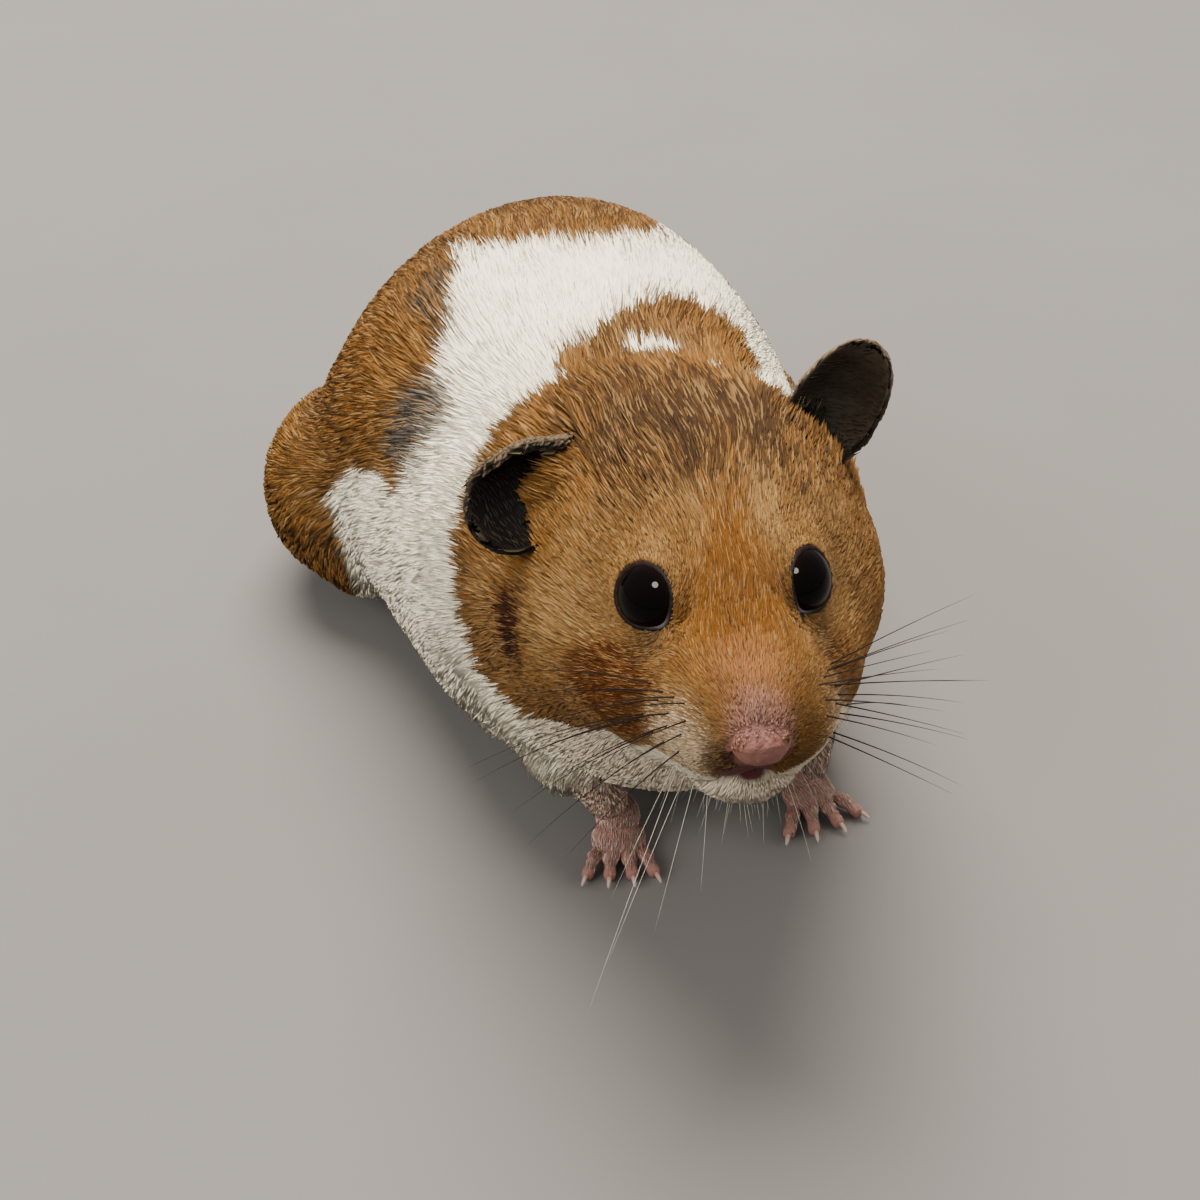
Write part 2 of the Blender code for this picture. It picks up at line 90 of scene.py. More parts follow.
class Tint(Enum):
    """Colours of skin and coat, as linear red, green and blue."""

    WHITE = (0.90, 0.83, 0.65)
    GOLD = (0.150, 0.068, 0.0145)
    ORANGE = (0.112, 0.041, 0.003)
    STRAW = (0.27, 0.160, 0.060)
    RUST = (0.064, 0.017, 0.0015)
    MAROON = (0.028, 0.006, 0.002)
    CREAM = (0.52, 0.40, 0.26)
    # The coat's white, dimmed as painted shade under the jaw.
    MILK = (0.70, 0.61, 0.46)
    ASH = (0.125, 0.105, 0.085)
    UMBER = (0.032, 0.017, 0.008)
    SLATE = (0.045, 0.039, 0.031)
    MAUVE = (0.026, 0.017, 0.015)
    PEACH = (0.21, 0.085, 0.032)
    PINK = (0.19, 0.080, 0.064)
    # Dark red of painted shade: under the nose pad, in the nostrils, cleft and mouth, and between the toes.
    CRIMSON = (0.050, 0.005, 0.006)
    ROSE = (0.32, 0.160, 0.130)

    @property
    def rgb(self) -> Array:
        """The colour as an array."""
        return np.array(self.value)


# ---- arrays


def unit(vectors: Array) -> Array:
    """The vectors at length one."""
    return vectors / np.maximum(np.linalg.norm(vectors, axis=-1, keepdims=True), 1e-9)


def dots(a: Array, b: Array) -> Array:
    """Row by row dot products, kept as a column."""
    return (a * b).sum(-1, keepdims=True)


def ease(low: float, high: float, values: Array) -> Array:
    """A smooth step from 0 at low to 1 at high, which may be the lower of the two."""
    t = np.clip((values - low) / (high - low), 0, 1)
    return t * t * (3 - 2 * t)


def line_distance(points: Array, knots: Array) -> Array:
    """How far each point lies from a line through the knots.

    Args:
        points: The points.
        knots: The line's corners.

    Returns:
        One distance for each point.
    """
    best = np.full(len(points), np.inf)
    for a, b in zip(knots, knots[1:], strict=False):
        along = np.clip(((points - a) @ (b - a)) / ((b - a) @ (b - a)), 0, 1)
        best = np.minimum(best, np.linalg.norm(points - a - along[:, None] * (b - a), axis=1))
    return best


class Grain:
    """Smooth seeded noise in space, from -1 to 1."""

    CELLS = 32

    def __init__(self, seed: int) -> None:
        """Fills the table of noise."""
        self.table = np.random.default_rng(seed).uniform(-1, 1, (self.CELLS,) * 3)

    def at(self, points: Array, size: float | Sequence[float]) -> Array:
        """The noise at each point.

        Args:
            points: Places, in millimetres.
            size: Millimetres from one grain to the next, or three of them.

        Returns:
            One value per point.
        """
        scaled = points / np.array(size)
        cell = np.floor(scaled).astype(int)
        t = scaled - cell
        t = t * t * (3 - 2 * t)
        total = np.zeros(len(points))
        for corner in np.ndindex(2, 2, 2):
            share = np.prod(np.where(corner, t, 1 - t), axis=1)
            x, y, z = ((cell + corner) % self.CELLS).T
            total += share * self.table[x, y, z]
        return total


# ---- shader maths


class Signal:
    """A shader socket that can be calculated with: each sum becomes a node of its tree."""

    def __init__(self, socket: bpy.types.NodeSocket) -> None:
        """Wraps the socket."""
        self.socket = socket

    def _joined(self, operation: str, first: "Operand", second: "Operand") -> "Signal":
        """A Math node of two operands, or a Vector Math node where one has several channels.

        Args:
            operation: The node's operation.
            first: Its first operand.
            second: Its second operand.

        Returns:
            The result.
        """
        wide = any(is_wide(v) for v in (first, second))
        node = self.socket.id_data.nodes.new("ShaderNodeVectorMath" if wide else "ShaderNodeMath")
        node.operation = operation
        for socket, value in zip(node.inputs, (first, second), strict=False):
            feed(socket, value)
        return Signal(node.outputs[0])

    def __add__(self, other: "Operand") -> "Signal":
        """Sum."""
        return self._joined("ADD", self, other)

    def __radd__(self, other: "Operand") -> "Signal":
        """Sum, reflected."""
        return self._joined("ADD", other, self)

    def __sub__(self, other: "Operand") -> "Signal":
        """Difference."""
        return self._joined("SUBTRACT", self, other)

    def __rsub__(self, other: "Operand") -> "Signal":
        """Difference, reflected."""
        return self._joined("SUBTRACT", other, self)

    def __mul__(self, other: "Operand") -> "Signal":
        """Product."""
        return self._joined("MULTIPLY", self, other)

    def __rmul__(self, other: "Operand") -> "Signal":
        """Product, reflected."""
        return self._joined("MULTIPLY", other, self)


Operand = float | Point | Signal


def is_wide(value: Operand) -> bool:
    """Whether an operand has several channels.

    Args:
        value: The operand.

    Returns:
        True for a colour or a vector.
    """
    if isinstance(value, Signal):
        return value.socket.type in ("RGBA", "VECTOR")
    return isinstance(value, tuple)


def feed(socket: bpy.types.NodeSocket, value: Operand) -> None:
    """Links a signal to a socket, or sets the socket's own value.

    Args:
        socket: The socket.
        value: A signal, a number or several channels.
    """
    if isinstance(value, Signal):
        socket.id_data.links.new(value.socket, socket)
    elif socket.type == "RGBA":
        socket.default_value = (*value, 1.0)
    elif socket.type == "VECTOR" and not isinstance(value, tuple):
        socket.default_value = (value, value, value)
    else:
        socket.default_value = value


class Paint:
    """One material in the making: its tree and its Principled shader."""

    def __init__(self, name: str) -> None:
        """Starts the material.

        Args:
            name: What the material is called.
        """
        self.material = bpy.data.materials.new(name)
        self.material.use_nodes = True
        self.tree = self.material.node_tree
        self.shader = self.tree.nodes["Principled BSDF"]

    def node(
        self, kind: str, settings: dict | None = None, inputs: dict | None = None, output: str | int = 0
    ) -> Signal:
        """Makes a node of any type.

        Args:
            kind: The node's type, without its ShaderNode prefix.
            settings: The node's properties.
            inputs: Values or signals for its sockets, by name or number.
            output: Which of its outputs to give back.

        Returns:
            That output.
        """
        made = self.tree.nodes.new("ShaderNode" + kind)
        for key, value in (settings or {}).items():
            setattr(made, key, value)
        for key, value in (inputs or {}).items():
            feed(made.inputs[key], value)
        return Signal(made.outputs[output])

    def attribute(self, name: str, output: str = "Fac") -> Signal:
        """A value that the mesh carries."""
        return self.node("Attribute", {"attribute_name": name}, output=output)

    def place(self) -> Signal:
        """The point being shaded, in metres in the row frame."""
        return self.node("TexCoord", output="Object")

    def noise(self, size: float, detail: float = 2.0, vector: Signal | None = None) -> Signal:
        """Noise from 0 to 1 of this grain size in millimetres."""
        inputs = {"Vector": vector or self.place(), "Scale": 1 / (size * MM), "Detail": detail}
        return self.node("TexNoise", inputs=inputs)

    def mix(self, share: Operand, low: Operand, high: Operand) -> Signal:
        """A colour between two others."""
        return self.node("Mix", {"data_type": "RGBA"}, {0: share, 6: low, 7: high}, output=2)

    def steps(self, value: Signal, low: float, high: float) -> Signal:
        """A smooth step of the value from 0 at low to 1 at high."""
        settings = {"interpolation_type": "SMOOTHSTEP"}
        return self.node("MapRange", settings, {"Value": value, "From Min": low, "From Max": high})

    def bump(self, height: Signal, depth: float, strength: float = 1.0) -> Signal:
        """A normal bent by a height from 0 to 1 that stands for this depth in millimetres."""
        inputs = {"Height": height, "Distance": depth * MM, "Strength": strength}
        return self.node("Bump", inputs=inputs)

    def finish(self, **sockets: Operand) -> Material:
        """Feeds the Principled shader.

        Args:
            **sockets: Its inputs, spaces written as underscores.

        Returns:
            The finished material.
        """
        for key, value in sockets.items():
            feed(self.shader.inputs[key.replace("_", " ")], value)
        return self.material


# ---- finishes


@dataclass(frozen=True)
class CoatFinish:
    """Soft hair, shaded partly by the lie of the whole coat and partly by each hair's own form."""

    softness: float = 0.92

    def material(self) -> Material:
        """The coat's material, which reads the colour that each tuft carries.

        Returns:
            The material.
        """
        paint = Paint("coat")
        tint = paint.attribute("tint", "Color")
        streak = paint.noise(0.35, 3.0)
        lie = paint.attribute("lie", "Vector")
        own = paint.node("NewGeometry", output="Normal")
        blend = self.softness * lie + (1 - self.softness) * own
        normal = paint.node("VectorMath", {"operation": "NORMALIZE"}, {0: blend})
        return paint.finish(
            Base_Color=tint * (0.9 + 0.2 * streak),
            Roughness=0.60 + 0.18 * streak,
            Specular_IOR_Level=0.12,
            Sheen_Weight=0.04,
            Sheen_Roughness=0.45,
            Normal=normal,
        )


@dataclass(frozen=True)
class SkinFinish:
    """Bare and furred skin: the tone that it carries, with pores and fine creases."""

    pore: float = 0.22
    crease: float = 0.9

    def material(self) -> Material:
        """The skin's material.

        Returns:
            The material.
        """
        paint = Paint("skin")
        tone, wet = paint.attribute("tone", "Color"), paint.attribute("wet")
        pores = paint.node(
            "TexVoronoi", inputs={"Vector": paint.place(), "Scale": 1 / (self.pore * MM), "Randomness": 1.0}
        )
        creases = paint.noise(self.crease, 4.0)
        height = 0.6 * pores + 0.4 * creases
        return paint.finish(
            Base_Color=tone * (0.82 + 0.22 * creases + 0.10 * pores),
            Roughness=0.62 - 0.38 * wet,
            Specular_IOR_Level=0.25,
            Subsurface_Weight=0.12,
            Subsurface_Scale=0.0008,
            Subsurface_Radius=(1.0, 0.35, 0.25),
            Normal=paint.bump(height, 0.09, 0.7),
        )


@dataclass(frozen=True)
class EarFinish:
    """Thin skin with fine ridges across it and soft spots, its hollow dark with painted shade."""

    ridge: float = 0.35

    def material(self) -> Material:
        """The ears' material.

        Returns:
            The material.
        """
        paint = Paint("ear_skin")
        tone = paint.attribute("tone", "Color")
        stretched = paint.place() * (0.25, 0.25, 1.0)
        ridges = paint.noise(self.ridge, 3.0, stretched)
        spots = paint.noise(1.6, 3.0)
        return paint.finish(
            Base_Color=tone * (0.62 + 0.55 * ridges) * (0.8 + 0.4 * spots),
            Roughness=0.60 + 0.2 * spots,
            Specular_IOR_Level=0.12,
            Normal=paint.bump(ridges, 0.12, 0.6),
        )


@dataclass(frozen=True)
class EyeFinish:
    """A wet, nearly black eye with a faint painted brown reflection toward its rim."""

    def material(self) -> Material:
        """The eyes' material.

        Returns:
            The material.
        """
        paint = Paint("eye")
        rim = paint.steps(paint.attribute("rim"), 0.55, 1.0)
        depths = paint.noise(0.7, 3.0)
        # Painted reflection: a faint brown toward the rim of the black eye.
        colour = paint.mix(rim * depths, (0.0018, 0.0013, 0.0012), (0.010, 0.004, 0.002))
        return paint.finish(
            Base_Color=colour,
            Roughness=0.035 + 0.02 * depths,
            Specular_IOR_Level=0.08,
        )


@dataclass(frozen=True)
class ClawFinish:
    """Pale horn, clearer toward the point."""

    def material(self) -> Material:
        """The claws' material.

        Returns:
            The material.
        """
        paint = Paint("claw")
        along = paint.attribute("along")
        grain = paint.noise(0.12, 2.0)
        colour = paint.mix(along, (0.34, 0.17, 0.14), (0.50, 0.40, 0.33))
        return paint.finish(
            Base_Color=colour * (0.85 + 0.3 * grain),
            Roughness=0.32 + 0.15 * grain,
            Specular_IOR_Level=0.5,
            Normal=paint.bump(grain, 0.02, 0.5),
        )


@dataclass(frozen=True)
class WhiskerFinish:
    """A stiff, slightly glossy hair."""

    def material(self) -> Material:
        """The whiskers' material.

        Returns:
            The material.
        """
        paint = Paint("whisker")
        tint, along = paint.attribute("tint", "Color"), paint.attribute("along")
        fade = paint.noise(2.0, 1.0)
        return paint.finish(
            Base_Color=tint * (0.8 + 0.3 * along) * (0.85 + 0.3 * fade),
            Roughness=0.5 + 0.1 * fade,
            Specular_IOR_Level=0.12,
        )


# ---- frames


@dataclass(frozen=True)
class HeadFrame:
    """The head's own frame: x to the animal's right, y forward, z up, from between the eyes.

    Attributes:
        origin: Its zero point in the row frame.
        pitch: How far the nose is tipped up, in degrees.
    """

    origin: Point
    pitch: float = 9.0

    @staticmethod
    def from_eyes() -> "HeadFrame":
        """The frame that both eyes' boxes fix.

        Returns:
            The head's frame.
        """
        corners = [corner for name in ("eye_left", "eye_right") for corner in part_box(name)]
        middle = np.mean([np.array(c) / MM for c in corners], axis=0)
        bare = HeadFrame((0.0, 0.0, 0.0))
        return HeadFrame(tuple(middle - bare.way(EYE_PLACE * (0, 1, 1))))

    @property
    def turn(self) -> Array:
        """The rotation from the head's frame to the row frame."""
        matrix = Matrix.Rotation(math.pi, 3, "Z") @ Matrix.Rotation(math.radians(self.pitch), 3, "X")
        return np.array(matrix)

    def local(self, points: Array) -> Array:
        """Points of the row frame in the head's frame."""
        return (points - np.array(self.origin)) @ self.turn

    def world(self, points: Array) -> Array:
        """Points of the head's frame in the row frame."""
        return points @ self.turn.T + np.array(self.origin)

    def way(self, vectors: Array) -> Array:
        """Directions of the head's frame in the row frame."""
        return vectors @ self.turn.T


# Landmarks of the head, in its own frame
NOSE_TIP = np.array([0.0, 16.4, -5.3])
NOSE_PAD = np.array([0.0, 14.7, -5.3])
EYE_PLACE = np.array([5.9, 1.2, 0.9])
EYE_RADIUS = 3.3
EYE_AXIS = np.array([0.60, 0.69, 0.40])


@dataclass(frozen=True)
class EyeSocket:
    """Where an eye sits, and which way it opens, in the row frame.

    Attributes:
        side: Which eye it is.
        centre: The middle of the ball.
        axis: The way it looks.
        inner: The way to its inner corner, square to the axis.
        opening: Half the angle that the lids leave open, in degrees.
    """

    side: str
    centre: Array
    axis: Array
    inner: Array
    opening: float = 49.0

    @staticmethod
    def pair(head: HeadFrame) -> list["EyeSocket"]:
        """Both eyes' sockets.

        Args:
            head: The head's frame.

        Returns:
            The left socket and the right one.
        """
        made = []
        for side, sign in (("left", -1.0), ("right", 1.0)):
            flip = np.array([sign, 1, 1])
            axis = unit(head.way(EYE_AXIS * flip))
            inner = head.way(np.array([-0.55 * sign, 0.55, -0.75]))
            inner = unit(inner - (inner @ axis) * axis)
            made.append(EyeSocket(side, head.world(EYE_PLACE * flip), axis, inner))
        return made

    def angles(self, points: Array) -> tuple[Array, Array, Array]:
        """Distance from the middle, angle from the axis and turn from the inner corner.

        Args:
            points: Places in the row frame.

        Returns:
            Millimetres, degrees and radians.
        """
        ray = points - self.centre
        reach = np.linalg.norm(ray, axis=-1)
        ahead = ray @ self.axis
        across = ray @ self.inner
        beside = ray @ np.cross(self.axis, self.inner)
        return reach, np.degrees(np.arccos(np.clip(ahead / reach, -1, 1))), np.arctan2(beside, across)

    def lid_angle(self, turn: Array) -> Array:
        """How far from the axis the lids' edge is, in degrees: a rounded drop with one corner."""
        return self.opening + 7.0 * np.exp(-((turn / 0.40) ** 2)) + 1.0 * np.cos(2 * turn)


# ---- markings


@dataclass(frozen=True)
class Zone:
    """One rounded patch of colour.

    Attributes:
        tint: Its colour.
        centre: Its middle, in the row frame or in the head's frame.
        radii: How far it reaches along each axis.
        turn: How far it is turned about the upright axis, in degrees.
        soft: Width of its edge, as a share of its size.
        ragged: How far its edge wanders, as a share of its size.
        strength: How much of the colour under it it covers.
        paired: Whether the other side has the same patch.
    """

    tint: Tint
    centre: Point
    radii: Point
    turn: float = 0.0
    soft: float = 0.16
    ragged: float = 0.12
    strength: float = 1.0
    paired: bool = False

    def share(self, points: Array, wander: Array) -> Array:
        """How much of this patch each point has.

        Args:
            points: Places in the patch's frame.
            wander: Noise at each point, from -1 to 1.

        Returns:
            Shares from 0 to 1.
        """
        best = np.zeros(len(points))
        lean = np.array(Matrix.Rotation(math.radians(self.turn), 3, "Z"))
        for side in (1, -1) if self.paired else (1,):
            middle = np.array(self.centre) * (side, 1, 1)
            reach = np.linalg.norm((points - middle) @ lean / np.array(self.radii), axis=1)
            reach += self.ragged * wander
            best = np.maximum(best, ease(1 + self.soft, 1 - self.soft, reach))
        return best * self.strength


@dataclass(frozen=True)
class Markings:
    """The coat's pattern, laid on white from the first patch to the last.

    Attributes:
        head: The head's frame.
        collar: Where the gold of the head ends behind, at a height of 35.
        collar_lean: How fast that edge goes back with height.
        coarse: Noise that bends the edges.
        fine: Noise that frays them.
        body: Patches in the row frame.
        face: Patches in the head's frame.
    """

    head: HeadFrame
    collar: float = -21.4
    collar_lean: float = 0.70
    coarse: Grain = field(default_factory=lambda: Grain(11))
    fine: Grain = field(default_factory=lambda: Grain(12))
    body: tuple[Zone, ...] = (
        # Flank, rump and haunches
        Zone(Tint.GOLD, (-20.0, 18.0, 34.0), (13.5, 24.5, 16.5), soft=0.05, ragged=0.06),
        Zone(Tint.GOLD, (1.5, 34.5, 39.0), (14.5, 22.0, 16.5), soft=0.05, ragged=0.06),
        Zone(Tint.ORANGE, (-24.0, 14.0, 32.0), (8.0, 12.0, 8.0), soft=0.5, strength=0.40),
        Zone(Tint.WHITE, (-21.5, -5.2, 15.8), (12.0, 15.5, 14.0), soft=0.06, ragged=0.08),
        Zone(Tint.WHITE, (-19.0, -2.5, 26.5), (4.0, 5.0, 4.3), soft=0.10, ragged=0.08),
        Zone(Tint.GOLD, (-30.0, 20.0, 13.0), (11.0, 15.0, 13.5), soft=0.08),
        Zone(Tint.GOLD, (24.0, 33.0, 22.0), (13.0, 17.0, 18.0), soft=0.06),
        Zone(Tint.UMBER, (-14.0, 26.0, 44.0), (9.0, 13.0, 6.0), soft=0.6, strength=0.5, ragged=0.5),
        Zone(Tint.UMBER, (3.0, 33.0, 46.0), (13.0, 17.0, 8.0), soft=0.6, strength=0.55, ragged=0.6),
        Zone(Tint.ASH, (-17.0, -3.4, 39.0), (5.4, 4.2, 6.6), soft=0.40, ragged=0.5, strength=0.95),
        Zone(Tint.SLATE, (-17.5, -2.6, 37.0), (3.8, 2.8, 5.0), soft=0.5, ragged=0.8, strength=0.7),
        Zone(Tint.SLATE, (-12.9, 10.0, 45.0), (2.4, 10.0, 3.4), soft=0.5, ragged=0.6, strength=0.6),
        # Nape
        Zone(Tint.GOLD, (11.1, -5.4, 45.5), (14.0, 6.8, 9.0), turn=42.0, soft=0.10, ragged=0.14),
        Zone(Tint.GOLD, (0.6, -10.6, 47.4), (3.2, 3.3, 4.0), soft=0.15, ragged=0.2),
        Zone(Tint.GOLD, (15.5, -10.0, 45.5), (4.0, 3.6, 4.0), soft=0.15, ragged=0.2),
        Zone(Tint.UMBER, (9.0, -4.5, 48.0), (12.0, 6.0, 5.0), turn=42.0, soft=0.6, strength=0.6, ragged=0.5),
        # Wrists and tail
        Zone(Tint.ROSE, (0.9, -30.0, 4.5), (5.0, 5.0, 7.0), soft=0.4, strength=0.70),
        Zone(Tint.ROSE, (21.9, -26.8, 4.5), (5.0, 5.0, 7.0), soft=0.4, strength=0.70),
        Zone(Tint.ROSE, (5.2, 58.5, 9.0), (5.0, 5.5, 5.5), soft=0.4, strength=0.8),
        # A white streak in the nape
        Zone(Tint.WHITE, (8.2, -9.3, 48.6), (3.3, 1.5, 3.0), soft=0.30, ragged=0.35, strength=0.9),
    )
    face: tuple[Zone, ...] = (
        Zone(Tint.ORANGE, (0.0, 5.4, 3.4), (4.4, 10.0, 6.0), soft=0.45, strength=0.9),
        Zone(Tint.STRAW, (9.0, 0.0, 2.5), (6.5, 7.5, 7.5), soft=0.45, strength=0.34, paired=True),
        Zone(Tint.STRAW, (-3.9, -2.4, 7.4), (1.6, 6.5, 3.4), soft=0.45, ragged=0.3, strength=0.55),
        Zone(Tint.STRAW, (2.6, -2.6, 6.6), (1.4, 5.0, 3.0), soft=0.5, ragged=0.3, strength=0.36),
        Zone(Tint.ORANGE, (3.4, 4.6, 0.8), (1.6, 3.2, 2.8), soft=0.5, strength=0.6, paired=True),
        Zone(Tint.UMBER, (0.0, -12.0, 10.5), (12.5, 9.0, 6.0), soft=0.8, ragged=0.5, strength=0.86),
        Zone(Tint.UMBER, (1.5, -8.0, 10.0), (1.8, 3.4, 3.0), soft=0.6, ragged=0.5, strength=0.6),
        Zone(Tint.STRAW, (14.5, -1.0, -3.5), (4.5, 6.0, 6.0), soft=0.5, strength=0.55),
        Zone(Tint.RUST, (9.6, 4.6, -6.0), (4.2, 6.6, 3.6), turn=24.0, soft=0.30, strength=0.88),
        Zone(Tint.RUST, (-8.6, 6.3, -4.8), (2.2, 4.2, 2.2), soft=0.4, strength=0.5),
        Zone(Tint.STRAW, (17.0, -13.0, -8.0), (5.0, 4.5, 9.0), soft=0.5, strength=0.35),
        Zone(Tint.MAROON, (18.3, -7.6, -6.2), (2.2, 2.0, 5.6), soft=0.4, strength=0.95),
        Zone(Tint.SLATE, (6.6, 5.4, -2.4), (2.2, 2.0, 1.3), soft=0.6, strength=0.35, paired=True),
        Zone(Tint.STRAW, (5.4, 9.8, -6.0), (2.9, 3.6, 3.2), soft=0.5, strength=0.6, paired=True),
        Zone(Tint.CREAM, (5.0, 11.2, -7.4), (3.1, 3.7, 3.5), soft=0.6, strength=0.85),
        Zone(Tint.CREAM, (-6.0, 9.0, -7.6), (3.0, 3.8, 2.8), soft=0.5, strength=0.6),
        Zone(Tint.PEACH, (0.0, 12.4, -1.4), (3.0, 5.0, 3.2), soft=0.7, strength=0.70),
        Zone(Tint.ROSE, (0.0, 15.2, -3.8), (2.6, 2.8, 2.8), soft=0.6, strength=0.8),
        # Painted shade beside and under the nose pad, on the animal's right only.
        Zone(Tint.MAROON, (3.0, 13.8, -7.4), (1.4, 1.8, 2.2), soft=0.6, strength=0.75),
        Zone(Tint.RUST, (-3.2, 13.2, -7.8), (1.2, 1.4, 1.4), soft=0.5, strength=0.5),
    )

    def under_jaw(self, local: Array, wander: Array) -> Array:
        """How much the lower lip, chin and throat take of the white in shade, the coat's white dimmed as
        painted shade under the head, at each point of the head's frame.

        Args:
            local: Places in the head's frame.
            wander: Noise at each place, from -1 to 1.

        Returns:
            Shares from 0 to 1.
        """
        lift = np.where(local[:, 0] > 0, 0.13, 0.36) * np.abs(local[:, 0])
        edge = -10.3 - 0.52 * np.maximum(9.0 - local[:, 1], 0) + np.minimum(lift, 3.0)
        edge = np.maximum(edge, -22.5) + 0.5 * wander
        return ease(0.35, -0.35, local[:, 2] - edge) * ease(-14.0, -12.0, local[:, 1])

    def tints(self, points: Array, chance: Array | None = None) -> Array:
        """The colour at each point.

        Args:
            points: Places in the row frame.
            chance: A random number for each tuft, which makes each take one side of an
                edge or the other, or None for a smooth blend.

        Returns:
            Linear colours.
        """
        local = self.head.local(points)
        wander = 0.65 * self.coarse.at(points, 3.2) + 0.35 * self.fine.at(points, 1.1)
        colours = np.tile(Tint.WHITE.rgb, (len(points), 1))
        lean = points[:, 1] - self.collar_lean * (points[:, 2] - 35.0) + 1.0 * wander
        front = ease(self.collar + 0.6, self.collar - 0.6, lean)
        front *= ease(17.5, 19.0, points[:, 2] + 1.2 * wander)
        colours = self._laid(colours, Tint.GOLD, front, chance)
        for zone in self.body:
            colours = self._laid(colours, zone.tint, zone.share(points, wander), chance)
        for zone in self.face:
            colours = self._laid(colours, zone.tint, zone.share(local, wander) * front, chance)
        # Lip, chin and throat take the white dimmed as painted shade.
        return self._laid(colours, Tint.MILK, self.under_jaw(local, wander), chance)

    @staticmethod
    def _laid(under: Array, tint: Tint, share: Array, chance: Array | None) -> Array:
        """Lays one colour over another, tuft by tuft where there is a chance for each.

        Args:
            under: The colour below.
            tint: The colour laid on.
            share: How much of it each place has.
            chance: A random number for each tuft, or None.

        Returns:
            The colours.
        """
        if chance is not None:
            share = 0.35 * share + 0.65 * ease(-0.15, 0.15, share - (0.08 + 0.84 * chance)) * (share > 0.02)
        return under + share[:, None] * (tint.rgb - under)


# ---- coat's plan


class Plan:
    """What a coat needs to know at each place of the skin that it grows on.

    Attributes:
        count: How many tufts it has.
        seed: Where its random draws start.
        clump: How far neighbours draw together toward their tips.
        bend: How far a tuft strays sideways from the lie of the coat.
    """

    count: int
    seed: int
    clump: float
    bend: float

    def lengths(self, points: Array) -> Array:
        """Length of the hair."""
        raise NotImplementedError

    def depths(self, points: Array) -> Array:
        """Height of the coat over the skin."""
        raise NotImplementedError

    def widths(self, points: Array) -> Array:
        """Width of a tuft."""
        raise NotImplementedError

    def densities(self, points: Array, normals: Array) -> Array:
        """Tufts to each square millimetre."""
        raise NotImplementedError

    def flow(self, points: Array, normals: Array) -> Array:
        """The way the hair lies, along the skin."""
        raise NotImplementedError

    def standing(self, points: Array) -> Array:
        """How much the hair stands away from the skin, from 0 to 1."""
        raise NotImplementedError

    def fitted(self, roots: Array, points: Array) -> Array:
        """Points of the tufts, moved off whatever they must not cross."""
        return points

    def tints(self, roots: Array, chance: Array) -> tuple[Array, Array, Array]:
        """Each tuft's colour at its root, along its middle and at its tip."""
        raise NotImplementedError


